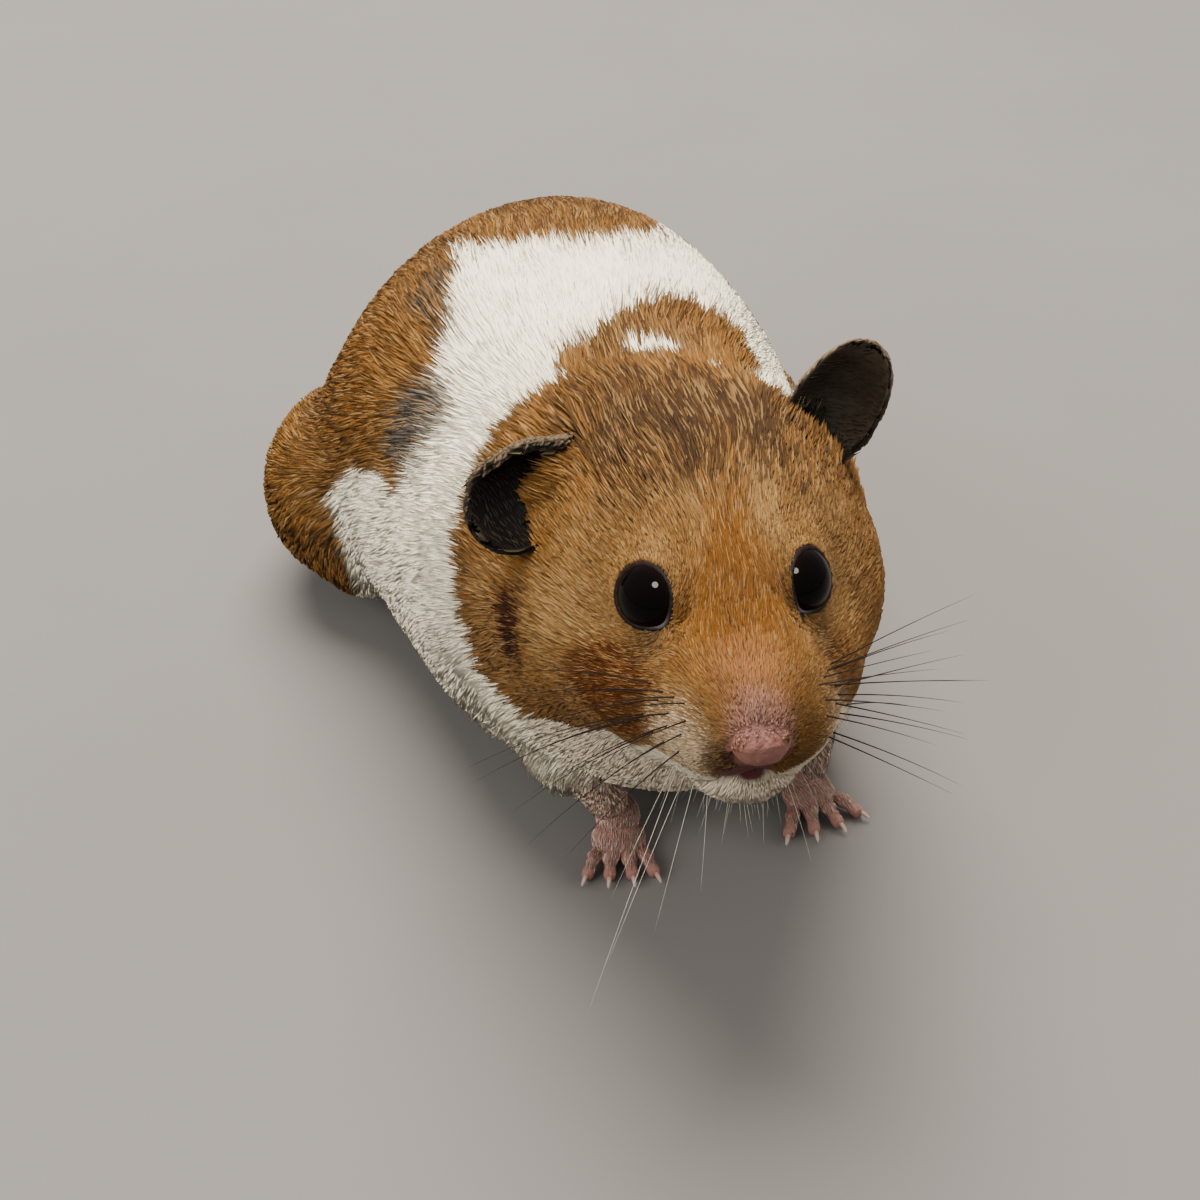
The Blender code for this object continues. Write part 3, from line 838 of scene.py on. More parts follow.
@dataclass(frozen=True)
class CoatPlan(Plan):
    """The coat of head, body, legs and tail.

    Attributes:
        head: The head's frame.
        sockets: The eyes' sockets.
        markings: Where its colours come from.
        feet: Where the feet stand, for the short hair above them.
        ears: The ears, for the hair at their roots.
        tail: Tip of the tail.
        reach: Distances from the nose tip that the next four values belong to.
        length: Length of the hair.
        depth: How far the skin lies below the tips.
        width: Width of a tuft.
        density: Tufts to each square millimetre.
    """

    head: HeadFrame
    sockets: list[EyeSocket]
    markings: Markings
    feet: Array
    ears: tuple["Ear", ...]
    tail: Point = (5.2, 56.0, 9.0)
    count: int = 356000
    seed: int = 5
    clump: float = 0.20
    bend: float = 0.85
    reach: tuple[float, ...] = (1.5, 4.5, 9.0, 15.0, 21.0, 28.0, 36.0, 60.0)
    length: tuple[float, ...] = (0.50, 0.85, 1.6, 2.7, 3.8, 5.2, 6.6, 8.0)
    depth: tuple[float, ...] = (0.16, 0.26, 0.43, 0.70, 1.05, 1.55, 1.95, 2.35)
    width: tuple[float, ...] = (0.060, 0.064, 0.072, 0.086, 0.10, 0.118, 0.134, 0.155)
    density: tuple[float, ...] = (85.0, 80.0, 66.0, 45.0, 34.5, 26.5, 21.0, 15.0)

    def _by_reach(self, points: Array, values: Sequence[float]) -> Array:
        """A value that grows from the nose backward."""
        reach = np.linalg.norm(points - self.head.world(NOSE_TIP), axis=1)
        return np.interp(reach, self.reach, values)

    def _ends(self, points: Array) -> Array:
        """From 0 on the body to 1 at a foot or at the tail's tip.

        Args:
            points: Places in the row frame.

        Returns:
            Shares from 0 to 1.
        """
        reach = np.min([np.linalg.norm(points - foot, axis=1) for foot in self.feet], axis=0)
        tail = np.linalg.norm(points - np.array(self.tail), axis=1)
        return np.maximum(ease(13.5, 5.0, reach), ease(14.0, 6.0, tail))

    def _eye_gap(self, points: Array) -> Array:
        """How far each point is from the nearer eye's surface."""
        reach = np.min([np.linalg.norm(points - s.centre, axis=1) for s in self.sockets], axis=0)
        return np.maximum(reach - EYE_RADIUS, 0)

    def _at_ears(self, points: Array) -> tuple[Array, Array]:
        """How near each point is to an ear's root, from 0 to 1, and the way that ear points.

        Args:
            points: Places in the row frame.

        Returns:
            Shares and ways.
        """
        near = np.zeros(len(points))
        way = np.zeros_like(points)
        for ear in self.ears:
            base, tip = np.array(ear.base), np.array(ear.tip)
            local = points - base
            share = ease(ear.ruff, 0.45 * ear.ruff, np.linalg.norm(local, axis=1))
            rise = unit(tip - base) + 0.55 * unit(np.array([base[0] - self.head.origin[0], 0, 0]))
            way = np.where((share > near)[:, None], unit(rise), way)
            near = np.maximum(near, share)
        return near, way

    def _at_chin(self, points: Array) -> Array:
        """How near each point is to lower lip and chin, from 0 to 1."""
        local = self.head.local(points)
        return ease(-9.8, -11.2, local[:, 2]) * ease(5.0, 8.0, local[:, 1])

    def lengths(self, points: Array) -> Array:
        """Length of the hair at each place.

        Args:
            points: Places in the row frame.

        Returns:
            Millimetres.
        """
        made = np.minimum(self._by_reach(points, self.length), 0.75 + 0.5 * self._eye_gap(points))
        near, _ = self._at_ears(points)
        made = made * (1 - near) + np.minimum(made, 4.2) * near + 0.7 * self._at_chin(points)
        ends = self._ends(points)
        return made * (1 - ends) + np.minimum(made, 1.5) * ends

    def depths(self, points: Array) -> Array:
        """How far the skin lies below the tips of the coat.

        Args:
            points: Places in the row frame.

        Returns:
            Millimetres.
        """
        made = np.minimum(self._by_reach(points, self.depth), 0.34 + 0.16 * self._eye_gap(points))
        ends = self._ends(points)
        return made * (1 - ends) + np.minimum(made, 0.4) * ends

    def widths(self, points: Array) -> Array:
        """Width of a tuft at each place."""
        return self._by_reach(points, self.width) * (1 - 0.5 * self._ends(points))

    def densities(self, points: Array, normals: Array) -> Array:
        """Tufts to each square millimetre, fewer on the underside, none on bare skin.

        Args:
            points: Places in the row frame.
            normals: The skin's normals there.

        Returns:
            One value for each place.
        """
        made = self._by_reach(points, self.density)
        made = made * (1 + 1.8 * self._ends(points))
        made *= 0.70 + 0.30 * ease(-0.75, 0.1, normals[:, 2])
        made *= 1 + 0.9 * np.exp(-self._eye_gap(points) / 1.6)
        local = self.head.local(points)
        pad = np.linalg.norm((local - NOSE_PAD - (0, 0.9, -0.75)) / np.array([2.5, 2.4, 2.05]), axis=1)
        made *= ease(0.92, 1.45, pad)
        mouth = np.linalg.norm((local - (0.8, 14.2, -9.0)) / np.array([2.5, 2.2, 1.5]), axis=1)
        made *= ease(0.8, 1.1, mouth)
        for socket in self.sockets:
            reach, angle, turn = socket.angles(points)
            inside = (reach < EYE_RADIUS + 1.2) & (angle < socket.lid_angle(turn) + 5)
            made[inside] = 0
        return made

    def flow(self, points: Array, normals: Array) -> Array:
        """The way the hair lies at each place, along the skin.

        Args:
            points: Places in the row frame.
            normals: The skin's normals there.

        Returns:
            Ways of length one.
        """
        local = self.head.local(points)
        from_nose = unit(points - self.head.world(NOSE_TIP - np.array([0, 3.0, 0])))
        sideways = normals * (1, 0, 0)
        down = np.array([0, 0, -0.75]) * np.abs(normals[:, :1])
        back = unit(np.array([0, 1.0, -0.12]) + down + 0.1 * sideways)
        chest = ease(-0.2, -0.85, normals[:, 1]) * ease(30.0, 16.0, points[:, 2])
        back = unit(back + chest[:, None] * np.array([0, 0.3, -1.4]))
        on_head = ease(-16.0, -30.0, points[:, 1] - 0.35 * (points[:, 2] - 40))[:, None]
        way = from_nose * on_head + back * (1 - on_head)
        cheek = (ease(-2, -10, local[:, 2]) * ease(6, 12, np.abs(local[:, 0])))[:, None] * on_head
        way = way + cheek * np.array([0, 0.1, -0.45])
        legs = ease(15.0, 5.0, points[:, 2])[:, None] * ease(0.1, 0.7, np.abs(normals[:, :1]))
        way = way + legs * np.array([0, -0.1, -0.8])
        near, rise = self._at_ears(points)
        way = way + 1.2 * near[:, None] * rise
        for socket in self.sockets:
            ray = points - socket.centre
            away = unit(ray - dots(ray, normals) * normals)
            close = np.exp(-np.maximum(np.linalg.norm(ray, axis=1) - EYE_RADIUS, 0) / 2.4)[:, None]
            toward = np.minimum(dots(way, away), 0)
            way = way - toward * away * np.minimum(1, 1.8 * close) + 0.5 * close * away
        return unit(way - dots(way, normals) * normals)

    def standing(self, points: Array) -> Array:
        """How much the hair stands away from the skin, from 0 to 1.

        Args:
            points: Places in the row frame.

        Returns:
            Shares.
        """
        local = self.head.local(points)
        crown = np.exp(-(((local[:, 1] + 14) / 8) ** 2)) * ease(2.0, 9.0, local[:, 2])
        ruff = np.exp(-(((local[:, 1] + 14) / 6) ** 2)) * ease(8, 14, np.abs(local[:, 0]))
        near, _ = self._at_ears(points)
        chin = self._at_chin(points)
        return np.clip(0.45 * crown + 0.30 * ruff + 0.75 * near + 0.60 * chin, 0, 1)

    def fitted(self, roots: Array, points: Array) -> Array:
        """Bends the hair round the eyes, so that none lies over them.

        Args:
            roots: The tufts' roots.
            points: Points of the same tufts.

        Returns:
            The points, clear of the eyes.
        """
        for socket in self.sockets:
            reach, angle, turn = socket.angles(points)
            limit = socket.lid_angle(turn) + 1.5
            over = (angle < limit) & (reach < 7.5)
            ray = roots - socket.centre
            out = unit(ray - (ray @ socket.axis)[:, None] * socket.axis)
            lean = np.radians(limit)[:, None]
            moved = socket.centre + (socket.axis * np.cos(lean) + out * np.sin(lean)) * reach[:, None]
            points = np.where(over[:, None], moved, points)
        return points

    def tints(self, roots: Array, chance: Array) -> tuple[Array, Array, Array]:
        """Dark roots, clear middles and paler tips, with pale and dark hairs among the gold.

        Args:
            roots: The place that gives each tuft its colour.
            chance: A random number for each tuft.

        Returns:
            Colours at root, middle and tip.
        """
        random = np.random.default_rng(self.seed + 1)
        base = self.markings.tints(roots, random.random(len(roots)))
        golden = ease(0.55, 0.35, base[:, 2])[:, None]
        grain = Grain(31)
        streak = grain.at(roots, (1.1, 1.9, 1.9)) * 0.5 + grain.at(roots + 40, 0.6) * 0.5
        pale = (random.random(len(base)) < 0.20 + 0.16 * streak)[:, None] * golden
        dark = (random.random(len(base)) < 0.12 - 0.12 * streak)[:, None] * golden
        middle = base + 0.45 * pale * (Tint.STRAW.rgb - base)
        middle = middle + 0.5 * dark * (Tint.UMBER.rgb - middle)
        vary = 1 + (0.05 + 0.19 * golden) * (0.7 * streak + chance - 0.5)[:, None]
        middle = middle * vary
        golden = golden * ease(1.5, 2.3, base[:, :1] / base[:, 1:2])
        root = middle * (0.95 - 0.22 * golden)
        tip = middle * (1.0 + 0.28 * golden) + 0.003 * golden
        return root, middle, np.minimum(tip, 0.9)


@dataclass(frozen=True)
class DownPlan(Plan):
    """A sparse even down on an ear or on the back of a foot.

    Attributes:
        way: The way it lies.
        tint: Its colour.
        keep: Where it grows: a direction that the skin there has to face, and how squarely.
    """

    way: Point
    tint: Point
    length: float
    depth: float
    width: float
    density: float
    count: int
    seed: int
    keep: Point = (0.0, 0.0, 1.0)
    squarely: float = -1.0
    fade_low: float = -9.0
    clump: float = 0.1
    bend: float = 1.6

    def lengths(self, points: Array) -> Array:
        """Length of the down."""
        return np.full(len(points), self.length)

    def depths(self, points: Array) -> Array:
        """Height of the down."""
        return np.full(len(points), self.depth)

    def widths(self, points: Array) -> Array:
        """Width of a hair."""
        return np.full(len(points), self.width)

    def densities(self, points: Array, normals: Array) -> Array:
        """Even, where the skin faces the right way."""
        facing = ease(self.squarely - 0.2, self.squarely + 0.2, normals @ np.array(self.keep))
        return self.density * facing * ease(self.fade_low, self.fade_low + 0.8, points[:, 2])

    def flow(self, points: Array, normals: Array) -> Array:
        """One way, laid along the skin."""
        way = np.tile(np.array(self.way), (len(points), 1))
        return unit(way - dots(way, normals) * normals)

    def standing(self, points: Array) -> Array:
        """None of it stands."""
        return np.zeros(len(points))

    def tints(self, roots: Array, chance: Array) -> tuple[Array, Array, Array]:
        """One colour that varies from hair to hair."""
        middle = np.array(self.tint) * (0.75 + 0.5 * chance)[:, None]
        return middle * 0.8, middle, middle * 1.15


# ---- mesh tools


def new_object(name: str, mesh: Mesh) -> Object:
    """An object of this mesh, linked to the scene.

    Args:
        name: What it is called.
        mesh: Its mesh.

    Returns:
        The object.
    """
    made = bpy.data.objects.new(name, mesh)
    bpy.context.scene.collection.objects.link(made)
    return made


def mesh_of(name: str, points: Array, faces: Array, smooth: bool = True) -> Mesh:
    """A mesh of faces that all have the same number of corners.

    Args:
        name: What it is called.
        points: Corners in millimetres.
        faces: One row of corner numbers for each face.
        smooth: Whether it is shaded smooth.

    Returns:
        The mesh, in metres.
    """
    mesh = bpy.data.meshes.new(name)
    count, sides = faces.shape
    mesh.vertices.add(len(points))
    mesh.vertices.foreach_set("co", (points * MM).astype(np.float32).ravel())
    mesh.loops.add(count * sides)
    mesh.loops.foreach_set("vertex_index", faces.astype(np.int32).ravel())
    mesh.polygons.add(count)
    mesh.polygons.foreach_set("loop_start", np.arange(0, count * sides, sides, dtype=np.int32))
    mesh.update(calc_edges=True)
    if smooth:
        mesh.shade_smooth()
    return mesh


def carry(mesh: Mesh, name: str, values: Array) -> None:
    """Stores a number, a vector or a colour at each point of the mesh.

    Args:
        mesh: The mesh.
        name: The attribute's name; tint and tone hold colours.
        values: One row for each point.
    """
    if values.ndim == 1:
        kind, key = "FLOAT", "value"
    elif name in ("tint", "tone"):
        kind, key = "FLOAT_COLOR", "color"
        values = np.column_stack([values, np.ones(len(values))])
    else:
        kind, key = "FLOAT_VECTOR", "vector"
    layer = mesh.attributes.new(name, kind, "POINT")
    layer.data.foreach_set(key, values.astype(np.float32).ravel())


def mesh_arrays(mesh: Mesh) -> tuple[Array, Array]:
    """The mesh's points and normals, in millimetres.

    Args:
        mesh: The mesh.

    Returns:
        One row of each for each point.
    """
    points = np.empty(len(mesh.vertices) * 3, np.float32)
    mesh.vertices.foreach_get("co", points)
    normals = np.empty(len(mesh.vertices) * 3, np.float32)
    mesh.vertices.foreach_get("normal", normals)
    return points.reshape(-1, 3).astype(float) / MM, normals.reshape(-1, 3).astype(float)


def set_points(mesh: Mesh, points: Array) -> None:
    """Moves the mesh's points to these places, in millimetres."""
    mesh.vertices.foreach_set("co", (points * MM).astype(np.float32).ravel())
    mesh.update()


def triangles_of(mesh: Mesh) -> NDArray[np.int64]:
    """Corner numbers of the mesh's triangles.

    Args:
        mesh: The mesh.

    Returns:
        One row for each triangle.
    """
    mesh.calc_loop_triangles()
    faces = np.empty(len(mesh.loop_triangles) * 3, np.int32)
    mesh.loop_triangles.foreach_get("vertices", faces)
    return faces.reshape(-1, 3).astype(np.int64)


def clay(name: str, mesh: Mesh, voxel: float, smoothing: int) -> Mesh:
    """Melts overlapping closed shapes into one even, smooth skin.

    Args:
        name: What the new mesh is called.
        mesh: The shapes.
        voxel: Size of its faces, in millimetres.
        smoothing: Rounds of smoothing.

    Returns:
        The melted mesh.
    """
    obj = new_object(name, mesh)
    remesh = obj.modifiers.new("Melt", "REMESH")
    remesh.mode = "VOXEL"
    remesh.voxel_size = voxel * MM
    smooth = obj.modifiers.new("Smooth", "SMOOTH")
    smooth.factor = 0.5
    smooth.iterations = smoothing
    graph = bpy.context.evaluated_depsgraph_get()
    made = bpy.data.meshes.new_from_object(obj.evaluated_get(graph))
    bpy.data.objects.remove(obj, do_unlink=True)
    made.name = name
    made.shade_smooth()
    return made


def ellipsoid(shape: bmesh.types.BMesh, centre: Vector, radii: Point, turn: Matrix | None = None) -> None:
    """Adds a rounded mass to a shape, in millimetres.

    Args:
        shape: What it is added to.
        centre: Its middle.
        radii: Half its size along each axis.
        turn: How it is turned, or None.
    """
    stretch = Matrix.Diagonal((*(r * MM for r in radii), 1))
    lean = (turn or Matrix.Identity(3)).to_4x4()
    matrix = Matrix.Translation(centre * MM) @ lean @ stretch
    bmesh.ops.create_icosphere(shape, subdivisions=3, radius=1, matrix=matrix)


def tubes(paths: Array, radii: Array, sides: int) -> tuple[Array, Array, Array]:
    """Closed tapered tubes, all with the same number of rings and a point at the end.

    Args:
        paths: Centre lines, as tubes by rings by three.
        radii: Radius at each ring; the last one is a point.
        sides: Points round each ring.

    Returns:
        Their points, their triangles, and how far along its tube each point is.
    """
    count, rings = paths.shape[:2]
    ahead = unit(np.gradient(paths, axis=1))
    helper = np.where(np.abs(ahead[..., 2:]) > 0.9, np.array([1.0, 0, 0]), np.array([0, 0, 1.0]))
    across = unit(np.cross(ahead, helper))
    over = np.cross(across, ahead)
    turn = 2 * math.pi * np.arange(sides) / sides
    spread = across[:, :, None] * np.cos(turn)[:, None] + over[:, :, None] * np.sin(turn)[:, None]
    body = paths[:, :-1, None] + spread[:, :-1] * radii[:, :-1, None, None]
    points = np.concatenate([body.reshape(count, -1, 3), paths[:, -1:]], axis=1)
    faces = [(0, k + 1, k) for k in range(1, sides - 1)]
    for ring in range(rings - 2):
        for k in range(sides):
            a, b = ring * sides + k, ring * sides + (k + 1) % sides
            faces += [(a, b, b + sides), (a, b + sides, a + sides)]
    last, tip = (rings - 2) * sides, (rings - 1) * sides
    faces += [(last + k, last + (k + 1) % sides, tip) for k in range(sides)]
    size = points.shape[1]
    every = np.array(faces)[None] + (np.arange(count) * size)[:, None, None]
    along = np.append(np.repeat(np.arange(rings - 1), sides) / (rings - 1), 1.0)
    return points.reshape(-1, 3), every.reshape(-1, 3), np.tile(along, count)


def ride(obj: Object, material: Material, replaces: Sequence[str] = ()) -> None:
    """Dresses a piece, and sets it on the body in place of its CAD nodes.

    Args:
        obj: The piece.
        material: Its material.
        replaces: CAD nodes that it stands for.
    """
    obj.data.materials.clear()
    obj.data.materials.append(material)
    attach(obj, BODY)
    if replaces:
        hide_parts(*replaces)
    log.info("%s: %d faces", obj.name, len(obj.data.polygons))


# ---- feet


@dataclass(frozen=True)
class Foot:
    """A foot on the floor.

    Attributes:
        name: The CAD node that it replaces.
        place: Wrist or ankle on the floor.
        heading: How far it turns outward, in degrees.
        pads: Rounded masses of the sole and back of the foot: a centre and radii each.
        toes: Sideways place and splay in degrees of each toe.
        toe_length: From knuckle to tip.
    """

    name: str
    place: tuple[float, float]
    heading: float
    pads: tuple[tuple[Point, Point], ...]
    toes: tuple[tuple[float, float], ...]
    toe_length: float
    toe_start: float = 2.4
    toe_height: float = 0.85
    toe_radius: float = 0.78
    balls: int = 12
    voxel: float = 0.17

    def frame(self) -> Matrix:
        """From the foot's own frame, y to the toes, to the row frame."""
        turn = Matrix.Rotation(math.radians(180 - self.heading), 4, "Z")
        return Matrix.Translation((*self.place, 0)) @ turn

    def toe_point(self, toe: tuple[float, float], share: float) -> Vector:
        """A point along a toe, in the foot's frame: two arched joints.

        Args:
            toe: Sideways place and splay of the toe.
            share: How far along it the point is, from 0 to 1.

        Returns:
            The point.
        """
        knuckle, splay = toe
        way = Vector((math.sin(math.radians(splay)), math.cos(math.radians(splay)), 0))
        arch = 0.55 * math.sin(math.pi * min(1, share * 1.15)) ** 1.2
        return Vector((knuckle, self.toe_start, self.toe_height + arch)) + way * share * self.toe_length

    def mesh(self) -> Mesh:
        """Pads and jointed toes as one skin, flat where it stands.

        Returns:
            The mesh.
        """
        place = self.frame()
        turn = place.to_3x3()
        shape = bmesh.new()
        for centre, radii in self.pads:
            ellipsoid(shape, place @ Vector(centre), radii, turn)
        for toe in self.toes:
            for step in range(self.balls):
                share = step / (self.balls - 1)
                joint = 1 + 0.14 * math.cos(2 * math.pi * (share * 2.1 + 0.02))
                size = self.toe_radius * joint * (1.12 - 0.22 * share)
                at = self.toe_point(toe, share)
                ellipsoid(shape, place @ at, (size * 0.86, size * 0.8, size), turn)
            tip = self.toe_point(toe, 0.98) + Vector((0, 0, -0.22))
            ellipsoid(shape, place @ tip, (self.toe_radius * 0.86,) * 2 + (0.62,), turn)
        rough = bpy.data.meshes.new(self.name)
        shape.to_mesh(rough)
        shape.free()
        made = clay(self.name, rough, self.voxel, 5)
        points, _ = mesh_arrays(made)
        points[:, 2] = np.where(points[:, 2] < 0.12, np.maximum(points[:, 2], 0.0), points[:, 2])
        set_points(made, points)
        return made

    def down(self) -> DownPlan:
        """Sparse pale hair on the back of the foot, toward the toes.

        Returns:
            The plan of that down.
        """
        way = self.frame().to_3x3() @ Vector((0, 1, -0.2))
        return DownPlan(
            way=tuple(way),
            tint=(0.48, 0.34, 0.28),
            length=1.1,
            depth=0.20,
            width=0.05,
            density=12.0,
            count=700,
            seed=60,
            squarely=0.25,
            fade_low=1.3,
        )

    def tones(self, points: Array) -> tuple[Array, Array]:
        """Pink skin dimmed as painted shade, with deeper red painted shade between the toes, low toward the
        floor and in the knuckle creases, and how wet it is.

        Args:
            points: Places in the row frame.

        Returns:
            Colours and wetness.
        """
        place = np.array(self.frame().inverted())
        local = points @ place[:3, :3].T + place[:3, 3]
        between = np.full(len(points), 9.0)
        for toe in self.toes:
            line = np.array([self.toe_point(toe, s) for s in np.linspace(0, 1, 6)])
            between = np.minimum(between, line_distance(local, line))
        # Painted shade: deeper red between the toes, low toward the floor and in the knuckle creases.
        gap = ease(0.72, 1.05, between) * ease(2.0, 3.2, local[:, 1]) * ease(2.2, 1.4, local[:, 2])
        low = ease(0.9, 0.3, local[:, 2]) * ease(1.0, 3.0, local[:, 1])
        knuckle = 0.25 * np.exp(-(((local[:, 1] - 3.6) / 0.5) ** 2)) * (between < 0.9)
        painted_shade = np.clip(0.9 * gap + 0.25 * low + knuckle, 0, 1)[:, None]
        # The whole foot is dimmed as painted shade of the body above it.
        tones = Tint.ROSE.rgb * 0.86 * (1 - painted_shade) + Tint.CRIMSON.rgb * 1.6 * painted_shade
        return tones, 0.12 * np.ones(len(points))


SHIFT = (8.063, 3.384)
SWAY = 7.0


def sway(y: float) -> float:
    """Sideways bow of the spine at a distance along the body that is not yet centred."""
    return -SWAY * math.exp(-(((y - 14.0) / 34.0) ** 2))


PAW_PADS = (((0, -1.0, 2.6), (2.4, 2.6, 2.5)), ((0, 1.2, 1.6), (2.9, 2.6, 1.8)))
HIND_PADS = (
    ((0, -7.0, 2.2), (2.2, 3.6, 2.3)),
    ((0, -3.0, 1.9), (2.4, 4.8, 1.9)),
    ((0, 1.2, 1.6), (3.1, 3.0, 1.7)),
)
PAW_TOES = ((-2.1, -26.0), (-0.75, -8.0), (0.75, 8.0), (2.1, 26.0))
SPLAYED_TOES = ((-2.2, -34.0), (-0.8, -10.0), (0.8, 12.0), (2.2, 38.0))
HIND_TOES = ((-2.4, -30.0), (-1.25, -12.0), (0.0, 0.0), (1.25, 12.0), (2.4, 30.0))


def feet() -> list[Foot]:
    """The four feet.

    Returns:
        Forefeet first, the right one before the left.
    """
    right, left = (-16.0, 15.0), (17.0, 10.0)
    return [
        Foot("forepaw_right", (SHIFT[0] - 7.2, SHIFT[1] - 33.5), 6.0, PAW_PADS, PAW_TOES, 3.1),
        Foot("forepaw_left", (SHIFT[0] + 13.8, SHIFT[1] - 30.2), -14.0, PAW_PADS, SPLAYED_TOES, 3.3),
        Foot(
            "hindfoot_right",
            (SHIFT[0] + right[0] + sway(right[1]), SHIFT[1] + right[1]),
            8.0,
            HIND_PADS,
            HIND_TOES,
            4.0,
        ),
        Foot(
            "hindfoot_left",
            (SHIFT[0] + left[0] + sway(left[1]), SHIFT[1] + left[1]),
            -12.0,
            HIND_PADS,
            HIND_TOES,
            4.0,
        ),
    ]


@dataclass(frozen=True)
class Claws:
    """The claws of one foot, as one piece of small curved cones."""

    foot: Foot
    length: float = 1.2
    radius: float = 0.27
    drop: float = 0.55
    sides: int = 10
    rings: int = 8

    def build(self, material: Material) -> Object:
        """Makes the claws.

        Args:
            material: Their horn.

        Returns:
            The piece, in place of the foot's CAD claws.
        """
        place = self.foot.frame()
        paths = []
        for toe in self.foot.toes:
            start = self.foot.toe_point(toe, 1.0)
            way = (start - self.foot.toe_point(toe, 0.8)) * Vector((1, 1, 0))
            way.normalize()
            path = []
            for share in np.linspace(0, 1, self.rings):
                rise = 0.12 - self.drop * share**2
                path.append(place @ (start + way * (0.35 + self.length * share) + Vector((0, 0, rise))))
            paths.append(path)
        shares = np.linspace(0, 1, self.rings)
        radii = np.tile(self.radius * np.sqrt(np.maximum(1 - shares**1.6, 0)), (len(paths), 1))
        points, faces, along = tubes(np.array(paths), radii, self.sides)
        points[:, 2] = np.maximum(points[:, 2], 0.02)
        mesh = mesh_of("claws_" + self.foot.name, points, faces)
        carry(mesh, "along", along)
        obj = new_object("claws_" + self.foot.name, mesh)
        nodes = [f"claw_{self.foot.name}_{number}" for number in range(1, len(self.foot.toes) + 1)]
        ride(obj, material, nodes)
        return obj


# ---- ears


@dataclass(frozen=True)
class Ear:
    """A thin cupped ear, as a closed leaf.

    Attributes:
        side: Which ear it is.
        base: Where it grows, in the row frame.
        tip: Where its tip is.
        opening: The way its hollow looks.
        half_width: Half its width where it is widest.
        cup: How far it is rolled at the root, in degrees.
        taper: How much narrower it gets toward the tip.
        inner: Tone of the hollow, darkened as painted shade.
        outer: Tone of the back.
        notch: Where its edge has a small notch, as a share from root to tip.
        notch_edge: Which edge has it, 1 or -1.
        ruff: How far from its root the head's fur stands up against it.
    """

    side: str
    base: Point
    tip: Point
    opening: Point
    half_width: float
    cup: float
    taper: float
    inner: Point
    outer: Point
    notch: float
    notch_edge: float
    ruff: float
    rows: int = 46
    columns: int = 36
    thickness: float = 0.42

    @property
    def name(self) -> str:
        """The CAD node that it replaces."""
        return "ear_" + self.side

    def surface(self, u: Array, t: Array) -> Array:
        """Points of the leaf's middle sheet.

        Args:
            u: Shares from root to tip.
            t: Shares across, from -0.5 to 0.5.

        Returns:
            Points in the row frame.
        """
        base, tip = np.array(self.base), np.array(self.tip)
        along = unit(tip - base)
        across = unit(np.cross(along, np.array(self.opening)))
        facing = unit(np.cross(across, along))
        held = np.clip(u, 0, 1)
        half = self.half_width * (0.78 + 0.22 * ease(0.0, 0.3, held)) * (1 - self.taper * held**1.6)
        half = half * np.sqrt(1.003 - held**6)
        half = half * (1 - 0.30 * np.exp(-(((u - self.notch) / 0.035) ** 2)) * (t * self.notch_edge > 0.2))
        spread = math.radians(self.cup) * (1 - 0.60 * u)
        radius = 2 * half / spread
        middle = base + (tip - base) * u[..., None] - facing * (1.1 * np.sin(math.pi * held))[..., None]
        wave = 0.06 * np.sin(9 * u + 3 * t) + 0.04 * np.sin(23 * u - 5 * t)
        turn = t * spread
        offset = across * np.sin(turn)[..., None] + facing * (1 - np.cos(turn))[..., None]
        return middle + offset * radius[..., None] + facing * wave[..., None]

    def mesh(self) -> Mesh:
        """The closed leaf, with its tones.

        Returns:
            The mesh.
        """
        along, across = np.linspace(-0.10, 1, self.rows), np.linspace(-0.5, 0.5, self.columns)
        u, t = np.meshgrid(along, across, indexing="ij")
        sheet = self.surface(u, t)
        normal = unit(np.cross(np.gradient(sheet, axis=1), np.gradient(sheet, axis=0)))
        normal *= np.sign((normal.reshape(-1, 3) @ np.array(self.opening)).mean())
        edge = np.sqrt(np.clip(1 - (2 * np.abs(t)) ** 8, 0.03, 1)) * np.sqrt(np.clip(1.0 - u**12, 0.03, 1))
        half = (0.5 * self.thickness * edge * (1 - 0.35 * u))[..., None]
        front, rear = sheet + normal * half, sheet - normal * half
        points = np.concatenate([front, rear[:, ::-1]], axis=1)
        loop = 2 * self.columns
        faces = []
        for row in range(self.rows - 1):
            for k in range(loop):
                a, b = row * loop + k, row * loop + (k + 1) % loop
                faces.append((a, b, b + loop, a + loop))
        for row in (0, self.rows - 1):
            for k in range(self.columns - 1):
                a, b = row * loop + k, row * loop + loop - 1 - k
                corners = (a, b, b - 1, a + 1)
                faces.append(corners if row == 0 else corners[::-1])
        rim = ease(0.93, 0.99, np.maximum(2 * np.abs(t), u))[..., None]
        # Painted shade: the hollow is darkest at its root and lighter toward the tip.
        high = ease(0.72, 0.95, u)[..., None]
        inner = np.array(self.inner) * (1 + 1.2 * high)
        pale = np.array([0.11, 0.080, 0.055])
        shaded_hollow_tone = inner * (1 - 0.7 * rim) + pale * 0.7 * rim
        rear_tone = np.array(self.outer) * (1 - 0.4 * rim) + pale * 0.4 * rim
        tones = np.concatenate([shaded_hollow_tone, rear_tone[:, ::-1]], axis=1)
        mesh = mesh_of(self.name, points.reshape(-1, 3), np.array(faces))
        carry(mesh, "tone", tones.reshape(-1, 3))
        carry(mesh, "wet", np.zeros(tones[..., 0].size))
        return mesh

    def fringe(self) -> DownPlan:
        """Longer tan hair that stands along its upper edge.

        Returns:
            The plan of that hair.
        """
        return DownPlan(
            way=tuple(0.5 * (np.array(self.tip) - np.array(self.base)) + np.array([0, 0, 3.0])),
            tint=(0.105, 0.074, 0.043),
            length=2.2,
            depth=1.0,
            width=0.038,
            density=10.0,
            count=650,
            seed=47,
            keep=(0.0, 0.45, 0.9),
            squarely=0.45,
            fade_low=self.base[2] + 1.8,
        )

